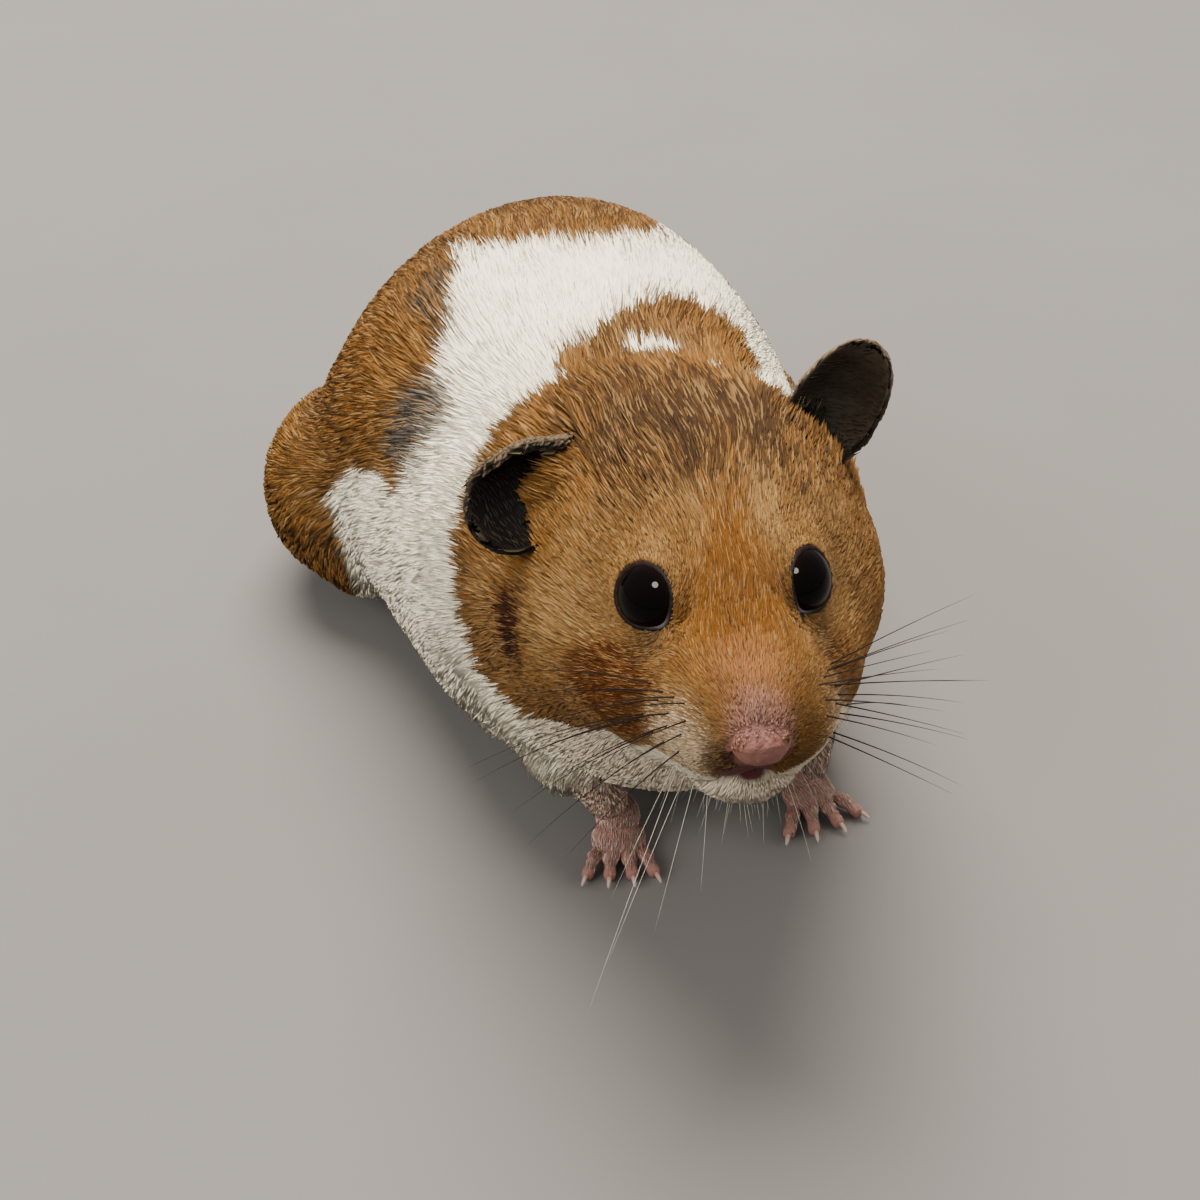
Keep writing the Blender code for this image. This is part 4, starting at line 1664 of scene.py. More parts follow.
    def down(self, count: int, outside: bool) -> DownPlan:
        """The short hair of its back, or the fine hairs in its hollow.

        Args:
            count: How many tufts.
            outside: Whether they are those of the back.

        Returns:
            The plan of that down.
        """
        sign = -1.0 if outside else 1.0
        way = np.array(self.tip) - np.array(self.base)
        if not outside:
            way = np.cross(way, np.array(self.opening)) + 0.3 * way
        return DownPlan(
            way=tuple(way),
            # The hairs in the hollow are near black, painted shade of the hollow.
            tint=(0.15, 0.105, 0.058) if outside else (0.024, 0.018, 0.011),
            length=2.3 if outside else 1.2,
            depth=0.45 if outside else 0.22,
            width=0.075 if outside else 0.04,
            density=10.0,
            count=count,
            seed=40 + count % 7,
            keep=tuple(sign * unit(np.array(self.opening))),
            squarely=0.15,
        )


EARS = (
    Ear(
        side="left",
        base=(19.96, -24.32, 45.3),
        tip=(25.26, -23.42, 54.6),
        opening=(-0.42, -0.80, 0.44),
        half_width=5.1,
        cup=150.0,
        taper=0.42,
        # Painted shade: the hollow's dark tone.
        inner=(0.018, 0.013, 0.008),
        outer=(0.055, 0.042, 0.027),
        notch=0.16,
        notch_edge=-1.0,
        ruff=9.5,
    ),
    Ear(
        side="right",
        base=(-3.14, -27.42, 46.0),
        tip=(-12.7, -31.8, 45.0),
        opening=(-0.22, -0.80, 0.56),
        half_width=5.4,
        cup=160.0,
        taper=0.24,
        # Painted shade: the hollow's tone, near black for the deep shadow inside this ear.
        inner=(0.0022, 0.0012, 0.0010),
        outer=(0.06, 0.045, 0.028),
        notch=0.36,
        notch_edge=-1.0,
        ruff=5.4,
    ),
)


# ---- skin


@dataclass
class Skin:
    """One skin over head, neck, trunk, legs and tail, with muzzle, lids, ears and feet.

    Attributes:
        plan: The coat's plan, which says how deep the skin lies.
        markings: The colours that it carries.
        flesh: CAD nodes that it is cast from.
        bridge: How far each swells, to melt into its neighbours.
        voxel: Size of the shell's faces away from the head.
        pad_radii: Half the nose pad's size along each axis.
    """

    plan: CoatPlan
    markings: Markings
    feet: list[Foot]
    ears: tuple[Ear, ...]
    flesh: tuple[str, ...] = (
        "head",
        "neck",
        "trunk",
        "tail",
        "nose",
        "hindleg_left",
        "hindleg_right",
        "foreleg_left",
        "foreleg_right",
    )
    bridge: float = 0.3
    voxel: float = 0.62
    smoothing: int = 9
    pad_radii: Point = (2.5, 2.0, 2.2)

    @property
    def head(self) -> HeadFrame:
        """The head's frame."""
        return self.plan.head

    def cast(self, nodes: dict[str, Object]) -> Mesh:
        """Melts the CAD flesh into one skin and sinks it by the coat's depth.

        Args:
            nodes: The CAD nodes by name.

        Returns:
            The body's shell.
        """
        shape = bmesh.new()
        for name in self.flesh:
            part = bmesh.new()
            part.from_mesh(nodes[name].data)
            bmesh.ops.remove_doubles(part, verts=part.verts, dist=1e-6)
            bmesh.ops.recalc_face_normals(part, faces=part.faces)
            part.normal_update()
            for vertex, normal in [(v, v.normal.copy()) for v in part.verts]:
                vertex.co += normal * self.bridge * MM
            moved = bpy.data.meshes.new("part")
            part.to_mesh(moved)
            part.free()
            shape.from_mesh(moved)
            bpy.data.meshes.remove(moved)
        for socket in self.plan.sockets:
            ellipsoid(shape, Vector(socket.centre), (EYE_RADIUS + 0.6,) * 3)
        rough = bpy.data.meshes.new("rough")
        shape.to_mesh(rough)
        shape.free()
        shell = clay("shell", rough, self.voxel, self.smoothing)
        shell = self._refined(shell)
        points, normals = mesh_arrays(shell)
        depth = self.plan.depths(points) + self.bridge * 0.6
        points = points - normals * depth[:, None]
        for foot in self.feet:
            if foot.name.startswith("forepaw"):
                points = self._slimmed(points, foot)
        set_points(shell, points)
        self._sculpt(shell)
        return shell

    @staticmethod
    def _slimmed(points: Array, foot: Foot) -> Array:
        """Draws the lower end of a foreleg in to a wrist.

        Args:
            points: The shell's points.
            foot: The forefoot under the leg.

        Returns:
            The moved points.
        """
        low = (points[:, 2] < 12) & (np.linalg.norm(points[:, :2] - foot.place, axis=1) < 6.5)
        axis = points[low & (points[:, 2] < 6)][:, :2].mean(0)
        share = 1 - 0.34 * ease(11.0, 4.5, points[:, 2])
        slim = axis + (points[:, :2] - axis) * share[:, None]
        near = (low * ease(6.5, 5.0, np.linalg.norm(points[:, :2] - foot.place, axis=1)))[:, None]
        flat = points[:, :2] + near * (slim - points[:, :2])
        return np.column_stack([flat, points[:, 2]])

    def _refined(self, shell: Mesh) -> Mesh:
        """Gives the face finer faces, and the muzzle and the eyes finer still.

        Args:
            shell: The shell.

        Returns:
            The same mesh, refined.
        """
        for reach, around_eyes in ((19.0, 8.5), (6.6, 5.2)):
            points, _ = mesh_arrays(shell)
            gap = np.linalg.norm(points - self.head.world(NOSE_TIP), axis=1)
            chosen = gap < reach
            for socket in self.plan.sockets:
                chosen |= np.linalg.norm(points - socket.centre, axis=1) < around_eyes
            shape = bmesh.new()
            shape.from_mesh(shell)
            shape.verts.ensure_lookup_table()
            marked = {v for v, flag in zip(shape.verts, chosen, strict=True) if flag}
            edges = [e for e in shape.edges if e.verts[0] in marked and e.verts[1] in marked]
            bmesh.ops.subdivide_edges(shape, edges=edges, cuts=1, use_grid_fill=True)
            soft = [
                v
                for v in shape.verts
                if v in marked or any(e.other_vert(v) in marked for e in v.link_edges)
            ]
            every_way = {f"use_axis_{axis}": True for axis in "xyz"}
            for _ in range(2):
                bmesh.ops.smooth_vert(shape, verts=soft, factor=0.5, **every_way)
            bmesh.ops.triangulate(shape, faces=[f for f in shape.faces if len(f.verts) > 4])
            shape.normal_update()
            shape.to_mesh(shell)
            shape.free()
        return shell

    def _lines(self) -> dict[str, Array]:
        """Creases of the muzzle, in the head's frame.

        Returns:
            The lines by name.
        """
        front = ((0.0, 14.3, -9.0), (1.5, 13.4, -10.2), (3.0, 11.6, -10.9))
        side = np.array((*front, (4.5, 8.8, -11.0), (5.2, 6.0, -10.4)))
        return {
            "mouth": np.concatenate([(side * (-1, 1, 1))[:0:-1], side]),
            "cleft": np.array([[0.1, 16.2, -7.2], [0.1, 15.4, -8.3], [0.1, 14.4, -9.7]]),
            "nostril": np.array([[0.8, 16.0, -7.35], [1.5, 15.4, -7.2], [2.15, 14.8, -6.5]]),
        }

    def _sculpt(self, shell: Mesh) -> None:
        """Shapes nose pad, nostrils, cleft, lips and the folds round the eyes.

        Args:
            shell: The shell, which is changed.
        """
        points, normals = mesh_arrays(shell)
        local = self.head.local(points)
        near = np.linalg.norm(local - NOSE_TIP, axis=1) < 14
        at, up = local[near], normals[near] @ self.head.turn
        radii = np.array(self.pad_radii)
        ray = at - NOSE_PAD
        reach = np.linalg.norm(ray / radii, axis=1)
        inside = (reach < 1.0) & (ray[:, 1] > -1.0)
        lift = ease(1.0, 0.86, reach) * ease(-1.0, 0.0, ray[:, 1]) * ease(2.0, 0.0, ray[:, 2])
        at = np.where(inside[:, None], at + ray * ((1 / np.maximum(reach, 0.4) - 1) * lift)[:, None], at)
        lines = self._lines()
        mouth = np.exp(-((line_distance(at, lines["mouth"]) / 0.42) ** 2))
        cleft = np.exp(-((line_distance(at, lines["cleft"]) / 0.30) ** 2))
        push = 0.70 * mouth + 0.50 * cleft
        for sign in (1, -1):
            nostril = line_distance(at, lines["nostril"] * (sign, 1, 1))
            push += 0.70 * np.exp(-((nostril / 0.34) ** 2))
            puff = np.linalg.norm((at - np.array([sign * 3.4, 11.2, -7.8])) / (2.3, 2.6, 1.9), axis=1)
            push -= 0.30 * ease(1.2, 0.2, puff)
        lip = np.linalg.norm((at - np.array([0.6, 11.4, -12.6])) / (5.6, 3.8, 2.5), axis=1)
        push -= 0.85 * ease(1.15, 0.25, lip) * ease(-9.9, -10.9, at[:, 2])
        push -= 0.09 * Grain(51).at(at, 0.40) * ease(1.15, 0.9, reach)
        local[near] = at - up * push[:, None]
        points = self.head.world(local)
        for socket in self.plan.sockets:
            reach, angle, turn = socket.angles(points)
            fold = np.exp(-(((angle - socket.lid_angle(turn) - 32) / 4.5) ** 2)) * (reach < EYE_RADIUS + 3)
            points = points - normals * (0.16 * fold)[:, None]
            reach, angle, turn = socket.angles(points)
            past = np.clip((angle - socket.lid_angle(turn) + 1) / 10, 0, 2.8)
            limit = EYE_RADIUS - 0.45 + past**1.5
            pull = ease(EYE_RADIUS + 4.5, EYE_RADIUS + 1.5, reach) * (past < 2.8) * (reach > limit)
            points = points + (points - socket.centre) * ((limit / reach - 1) * pull)[:, None]
        set_points(shell, points)

    def lids(self, socket: EyeSocket) -> tuple[Array, Array, Array]:
        """A soft dark ring round the eye: points, faces and tones.

        Args:
            socket: The eye's socket.

        Returns:
            The ring's points, faces and tones.
        """
        count = 96
        turns = np.linspace(0, 2 * math.pi, count, endpoint=False)
        wrapped = (turns + math.pi) % (2 * math.pi) - math.pi
        edge = socket.lid_angle(wrapped)
        beside = np.cross(socket.axis, socket.inner)
        profile = (
            (0.0, EYE_RADIUS - 0.25),
            (-0.5, EYE_RADIUS + 0.03),
            (0.8, EYE_RADIUS + 0.15),
            (3.0, EYE_RADIUS + 0.22),
            (6.0, EYE_RADIUS + 0.20),
            (9.0, EYE_RADIUS + 0.05),
            (11.0, EYE_RADIUS - 0.3),
            (8.0, EYE_RADIUS - 0.6),
        )
        corner = np.exp(-((wrapped / 0.26) ** 2))
        rings = []
        for step, radius in profile:
            angle = np.radians(edge + step)[:, None]
            round_it = np.cos(turns)[:, None] * socket.inner + np.sin(turns)[:, None] * beside
            wrinkle = 0.05 * np.sin(turns * 17 + step) * (step > 2)
            ray = socket.axis * np.cos(angle) + round_it * np.sin(angle)
            rings.append(socket.centre + ray * (radius + wrinkle)[:, None])
        points = np.stack(rings, axis=1)
        wide = len(profile)
        faces = []
        for k in range(count):
            for j in range(wide):
                a, b = k * wide + j, k * wide + (j + 1) % wide
                c = ((k + 1) % count) * wide
                faces.append((a, b, c + (j + 1) % wide, c + j))
        steps = np.array([step for step, _ in profile])
        dark = np.array([0.008, 0.004, 0.003])
        blue = np.array([0.20, 0.17, 0.20])
        outer = ease(3.0, 9.0, steps)[None, :, None]
        tones = dark * (1 - outer) + Tint.MAUVE.rgb * outer
        moist = (corner[:, None] * ease(6.0, 1.0, steps)[None])[..., None]
        tones = tones * (1 - 0.6 * moist) + blue * 0.6 * moist
        return points.reshape(-1, 3), np.array(faces), np.broadcast_to(tones, points.shape).reshape(-1, 3)

    def body_tones(self, points: Array, normals: Array) -> tuple[Array, Array]:
        """The shell's tones: under fur a shadow of the coat, bare on nose and lips, with painted shade under
        the nose pad and in nostrils, cleft and mouth.

        Args:
            points: The shell's points.
            normals: Its normals.

        Returns:
            Colours and wetness.
        """
        local = self.head.local(points)
        laid = points + self.plan.flow(points, normals) * (0.5 * self.plan.lengths(points))[:, None]
        tones = self.markings.tints(laid)
        tones = tones * (0.62 + 0.33 * ease(0.3, 0.6, tones[:, 2:]))
        wet = np.zeros(len(points))
        near = np.linalg.norm(local - NOSE_TIP, axis=1) < 14
        at = local[near]
        part, part_wet = tones[near], wet[near]

        def lay(share: Array, colour: Array, shine: float) -> None:
            """Lays a tone over the muzzle.

            Args:
                share: How much of it each point has.
                colour: The tone.
                shine: How wet it is.
            """
            nonlocal part, part_wet
            part = part + share[:, None] * (colour - part)
            part_wet = part_wet + share * (shine - part_wet)

        lines = self._lines()
        bridge = np.linalg.norm((at - np.array([0, 13.4, -2.2])) / (2.8, 4.0, 3.2), axis=1)
        lay(ease(1.2, 0.6, bridge), Tint.PEACH.rgb, 0.1)
        pad = np.linalg.norm((at - NOSE_PAD) / (2.9, 2.6, 2.2), axis=1)
        lay(ease(1.25, 0.9, pad), Tint.PINK.rgb, 0.05)
        # Painted shadow under the overhanging nose pad, reaching farther toward the animal's right.
        under = np.linalg.norm((at - np.array([0.9, 14.3, -9.2])) / (2.9, 2.2, 1.7), axis=1)
        lay(ease(1.15, 0.7, under), Tint.CRIMSON.rgb, 0.35)
        # Painted shade in the nostrils, the cleft and the line of the mouth.
        for sign in (1, -1):
            nostril = line_distance(at, lines["nostril"] * (sign, 1, 1))
            lay(np.exp(-((nostril / 0.42) ** 2)), Tint.CRIMSON.rgb, 0.6)
        lay(np.exp(-((line_distance(at, lines["cleft"]) / 0.42) ** 2)), Tint.CRIMSON.rgb, 0.6)
        mouth = np.exp(-((line_distance(at, lines["mouth"]) / 0.40) ** 2)) * ease(3.4, 1.6, np.abs(at[:, 0]))
        lay(0.9 * mouth, Tint.CRIMSON.rgb, 0.5)
        tones[near], wet[near] = part, part_wet
        for socket in self.plan.sockets:
            reach, angle, turn = socket.angles(points)
            past = np.maximum(angle - socket.lid_angle(turn) - 6, 0)
            ring = np.exp(-past / 3) * (reach < EYE_RADIUS + 1.5)
            tones = tones + (0.8 * ring)[:, None] * (Tint.MAUVE.rgb - tones)
        return tones, wet

    def parts(self, nodes: dict[str, Object]) -> dict[str, Mesh]:
        """Makes the skin's parts, each a closed mesh that carries its tones.

        Args:
            nodes: The CAD nodes by name.

        Returns:
            The body's shell, the lids, the feet and the ears, by name.
        """
        shell = self.cast(nodes)
        self._toned(shell, *self.body_tones(*mesh_arrays(shell)))
        made = {"body": shell}
        for socket in self.plan.sockets:
            lid_points, faces, lid_tones = self.lids(socket)
            made["lids_" + socket.side] = mesh_of("lids", lid_points, faces)
            self._toned(made["lids_" + socket.side], lid_tones, np.zeros(len(lid_points)))
        for foot in self.feet:
            made[foot.name] = foot.mesh()
            self._toned(made[foot.name], *foot.tones(mesh_arrays(made[foot.name])[0]))
        for ear in self.ears:
            made[ear.name] = ear.mesh()
        return made

    @staticmethod
    def _toned(mesh: Mesh, tones: Array, wet: Array) -> None:
        """Stores tone and wetness on a mesh."""
        carry(mesh, "tone", tones)
        carry(mesh, "wet", wet)

    def build(self, parts: dict[str, Mesh], material: Material, ear: Material) -> Object:
        """Joins the parts.

        Args:
            parts: The skin's parts by name.
            material: The skin's material.
            ear: The ears' material.

        Returns:
            The skin, in place of every node of flesh.
        """
        joined = bmesh.new()
        for name, part in parts.items():
            if name.startswith("ear"):
                part.materials.append(material)
                part.materials.append(ear)
                part.polygons.foreach_set("material_index", np.ones(len(part.polygons), np.int32))
            joined.from_mesh(part)
        bmesh.ops.recalc_face_normals(joined, faces=joined.faces)
        mesh = bpy.data.meshes.new("skin")
        joined.to_mesh(mesh)
        joined.free()
        mesh.shade_smooth()
        obj = new_object("skin", mesh)
        index = np.empty(len(mesh.polygons), np.int32)
        mesh.polygons.foreach_get("material_index", index)
        leaves = [leaf.name for leaf in self.ears]
        ride(obj, material, (*self.flesh, *leaves, *(foot.name for foot in self.feet)))
        obj.data.materials.append(ear)
        mesh.polygons.foreach_set("material_index", index)
        self._unwrap(obj)
        return obj

    @staticmethod
    def _unwrap(obj: Object) -> None:
        """Lays the skin out flat on the bake map.

        Args:
            obj: The skin.
        """
        bpy.context.view_layer.objects.active = obj
        obj.select_set(True)
        obj.data.uv_layers.new(name=BAKE_MAP)
        bpy.ops.object.mode_set(mode="EDIT")
        bpy.ops.mesh.select_all(action="SELECT")
        bpy.ops.uv.smart_project(angle_limit=math.radians(66), island_margin=0.002)
        bpy.ops.object.mode_set(mode="OBJECT")
        obj.select_set(False)


# ---- eyes


@dataclass(frozen=True)
class Eye:
    """One glossy eyeball."""

    socket: EyeSocket
    segments: int = 64
    rings: int = 40

    def build(self, material: Material) -> Object:
        """Makes the ball, with a slightly fuller cornea, in place of the CAD eye.

        Args:
            material: Its finish.

        Returns:
            The piece.
        """
        shape = bmesh.new()
        bmesh.ops.create_uvsphere(shape, u_segments=self.segments, v_segments=self.rings, radius=1)
        mesh = bpy.data.meshes.new("eyeball")
        shape.to_mesh(mesh)
        shape.free()
        ball, _ = mesh_arrays(mesh)
        ball *= MM
        turn = Vector(self.socket.axis).to_track_quat("Z", "Y").to_matrix()
        bulge = 1 + 0.025 * ease(0.4, 1.0, ball[:, 2])
        points = (ball * bulge[:, None]) @ np.array(turn).T * EYE_RADIUS + self.socket.centre
        set_points(mesh, points)
        mesh.shade_smooth()
        carry(mesh, "rim", np.degrees(np.arccos(np.clip(ball[:, 2], -1, 1))) / 60)
        obj = new_object("eyeball_" + self.socket.side, mesh)
        ride(obj, material, ["eye_" + self.socket.side])
        return obj


# ---- coat


@dataclass
class Tufts:
    """Many tufts as arrays, one row each."""

    root: Array
    middle: Array
    tip: Array
    normal: Array
    width: Array
    root_tint: Array
    middle_tint: Array
    tip_tint: Array

    def chosen(self, index: Array) -> "Tufts":
        """Some of the tufts."""
        return Tufts(*(getattr(self, name)[index] for name in self.__dataclass_fields__))

    @staticmethod
    def joined(parts: Sequence["Tufts"]) -> "Tufts":
        """Several lots of tufts as one."""
        names = Tufts.__dataclass_fields__
        return Tufts(*(np.concatenate([getattr(part, name) for part in parts]) for name in names))


class Surface:
    """A skin that tufts grow from: random roots on it, and the nearest point to any place."""

    def __init__(self, mesh: Mesh, seed: int) -> None:
        """Reads the mesh.

        Args:
            mesh: The skin, in metres.
            seed: Seed of the random roots.
        """
        self.points, self.normals = mesh_arrays(mesh)
        self.faces = triangles_of(mesh)
        corners = self.points[self.faces]
        cross = np.cross(corners[:, 1] - corners[:, 0], corners[:, 2] - corners[:, 0])
        self.area = 0.5 * np.linalg.norm(cross, axis=1)
        self.centres = corners.mean(1)
        self.facing = unit(self.normals[self.faces].mean(1))
        self.tree = BVHTree.FromPolygons(self.points.tolist(), self.faces.tolist())
        self.random = np.random.default_rng(seed)

    def roots(self, weights: Array, count: int) -> tuple[Array, Array]:
        """Evenly jittered roots.

        Args:
            weights: Tufts wanted to each square millimetre, for each face.
            count: How many roots.

        Returns:
            Their places and the skin's normals there.
        """
        share = np.cumsum(weights * self.area)
        drawn = (np.arange(count) + self.random.random(count)) * share[-1] / count
        face = np.minimum(np.searchsorted(share, drawn), len(share) - 1)
        a, b = self.random.random((2, count))
        over = a + b > 1
        a, b = np.where(over, 1 - a, a), np.where(over, 1 - b, b)
        blend = np.stack([1 - a - b, a, b], axis=1)[..., None]
        corners = self.faces[face]
        return (self.points[corners] * blend).sum(1), unit((self.normals[corners] * blend).sum(1))

    def laid(self, points: Array, heights: Array) -> tuple[Array, Array]:
        """The points brought to these heights over the skin, and the normals under them.

        Args:
            points: The points.
            heights: Their heights.

        Returns:
            The moved points and the normals.
        """
        found = [self.tree.find_nearest(p)[:2] for p in points.tolist()]
        feet = np.array([spot for spot, _ in found])
        normals = np.array([normal for _, normal in found])
        return feet + normals * heights[:, None], normals


@dataclass
class Coat:
    """All the hair, grown on the skins and parted into pieces for the export.

    Attributes:
        pieces: How many meshes it makes, a power of two.
        lock: How many tufts draw together.
        buried: How deep a root lies under the skin.
        patch: Size of a tuft's patch on the bake's map.
    """

    pieces: int = 8
    lock: int = 7
    buried: float = 0.15
    patch: float = 0.003

    def grow(self, mesh: Mesh, plan: Plan) -> Tufts:
        """Grows the tufts of one skin.

        Args:
            mesh: The skin.
            plan: Length, depth, lie and colour at each place.

        Returns:
            The tufts.
        """
        skin = Surface(mesh, plan.seed)
        root, normal = skin.roots(plan.densities(skin.centres, skin.facing), plan.count)
        random = skin.random
        chance, drift, rise = random.random((3, plan.count))
        length = plan.lengths(root) * (0.72 + 0.5 * random.random(plan.count))
        depth = plan.depths(root)
        flow = plan.flow(root, normal)
        grain = Grain(21)
        bend = 0.24 * grain.at(root, 4.5) + 0.18 * grain.at(root + 50, 1.4) + 0.26 * (drift - 0.5)
        bend = (bend * plan.bend)[:, None]
        flow = unit(flow + np.cross(normal, flow) * bend)
        stand = 0.45 * length * plan.standing(root) * (0.35 + 0.65 * rise)
        top = depth * (0.36 + 0.52 * rise) + stand
        crest = depth * (0.42 + 0.40 * rise) + 0.55 * stand
        lean = np.sqrt(np.maximum(1 - (top / length) ** 2, 0.15))
        half = root + flow * (0.48 * length * lean)[:, None]
        middle, under = skin.laid(half, crest)
        flow_on = plan.flow(middle, under)
        flow_on = unit(flow_on + np.cross(under, flow_on) * bend)
        on = middle + flow_on * (0.52 * length * lean)[:, None]
        tip, _ = skin.laid(on, top)
        middle = plan.fitted(root, middle)
        tip = plan.fitted(root, tip)
        width = plan.widths(root) * (0.8 + 0.4 * random.random(plan.count))
        tints = plan.tints(0.4 * root + 0.6 * tip, chance)
        tufts = Tufts(root - normal * self.buried, middle, tip, normal, width, *tints)
        self._gather(tufts, plan.clump, random)
        return tufts

    def _gather(self, tufts: Tufts, strength: float, random: np.random.Generator) -> None:
        """Draws the tips of neighbouring tufts together into soft locks.

        Args:
            tufts: The tufts, which are changed.
            strength: How much they draw together.
            random: The source of its chance.
        """
        total = len(tufts.root)
        leaders = random.permutation(total)[: total // self.lock]
        tree = KDTree(len(leaders))
        for number, place in enumerate(tufts.root[leaders].tolist()):
            tree.insert(place, number)
        tree.balance()
        nearest = np.array([tree.find(place)[1] for place in tufts.root.tolist()])
        lead = leaders[nearest]
        pull = (strength * (0.4 + 1.2 * random.random(total)))[:, None]
        offset = tufts.root - tufts.root[lead]
        tip_goal = tufts.tip[lead] + 0.35 * offset
        middle_goal = tufts.middle[lead] + 0.75 * offset
        tufts.tip = tufts.tip + pull * (tip_goal - tufts.tip)
        tufts.middle = tufts.middle + 0.5 * pull * (middle_goal - tufts.middle)

    def meshes(self, tufts: Tufts) -> list[tuple[str, Mesh]]:
        """Parts the tufts into even blocks and makes a mesh of each.

        Args:
            tufts: The tufts.

        Returns:
            Names and meshes.
        """
        blocks = [np.arange(len(tufts.root))]
        while len(blocks) < self.pieces:
            halves = []
            for block in blocks:
                places = tufts.root[block]
                axis = np.argmax(np.ptp(places, axis=0))
                order = np.argsort(places[:, axis], kind="stable")
                halves += [block[order[: len(order) // 2]], block[order[len(order) // 2 :]]]
            blocks = halves
        names = [f"coat_{number}" for number in range(1, len(blocks) + 1)]
        named = zip(names, blocks, strict=True)
        return [(name, self.mesh(name, tufts.chosen(block))) for name, block in named]

    def mesh(self, name: str, tufts: Tufts) -> Mesh:
        """Closed slivers, pointed at root and tip, arched and widest at the middle.

        Args:
            name: What the mesh is called.
            tufts: The tufts.

        Returns:
            The mesh, with each tuft's colours and its patch of the bake's map.
        """
        count = len(tufts.root)
        ahead = unit(tufts.tip - tufts.root)
        side = unit(np.cross(ahead, tufts.normal))
        over = np.cross(side, ahead)
        half = (0.5 * tufts.width)[:, None]
        arch = dots(tufts.middle - 0.5 * (tufts.root + tufts.tip), over)
        crest = tufts.middle + over * np.maximum(0.5 * half - arch, 0)
        points = np.stack([tufts.root, crest - side * half, crest + side * half, tufts.tip], axis=1)
        template = ((0, 2, 1), (1, 2, 3), (0, 3, 2), (3, 0, 1))
        faces = np.array(template)[None] + (4 * np.arange(count))[:, None, None]
        mesh = mesh_of(name, points.reshape(-1, 3), faces.reshape(-1, 3))
        tints = np.stack([tufts.root_tint, *[tufts.middle_tint] * 2, tufts.tip_tint], axis=1)
        carry(mesh, "tint", tints.reshape(-1, 3))
        carry(mesh, "lie", np.repeat(unit(tufts.normal + (0, 0, 0.28)), 4, axis=0))
        flat = ((0.25, 0), (0.5, 0.5), (0, 0.5), (0, 0.5), (0.5, 0.5), (0.25, 1))
        flat += ((0.75, 0), (0.75, 1), (1, 0.5), (0.75, 1), (0.75, 0), (0.5, 0.5))
        layer = mesh.uv_layers.new(name=BAKE_MAP)
        spots = self.unwrapped(tufts)[:, None] + self.patch * np.array(flat)[None]
        layer.data.foreach_set("uv", spots.astype(np.float32).ravel())
        return mesh

    @staticmethod
    def unwrapped(tufts: Tufts) -> Array:
        """Each root's place on the unrolled skin, spread so that no two patches meet.

        The skin is unrolled round the body's long axis. Roots that are neighbours there
        stay neighbours: they are ranked into columns round the body, and along it in each.

        Args:
            tufts: The tufts.

        Returns:
            The patches' lower corners.
        """
        count = len(tufts.root)
        columns = math.ceil(math.sqrt(count))
        middle = tufts.root.mean(0)
        around = np.arctan2(tufts.root[:, 0] - middle[0], tufts.root[:, 2] - middle[2] + 60.0)
        order = np.argsort(around, kind="stable")
        column = np.empty(count, int)
        column[order] = np.arange(count) // columns
        order = np.lexsort((tufts.root[:, 1], column))
        row = np.empty(count, int)
        row[order] = np.arange(count) - np.searchsorted(column[order], column[order])
        cells = max(columns, row.max() + 1)
        return np.stack([column, row], axis=1) * (0.996 / cells)


# ---- whiskers


# A whisker: root, direction, length, droop and tint, in the head's frame
Hair = tuple[Array, Array, float, float, Array]


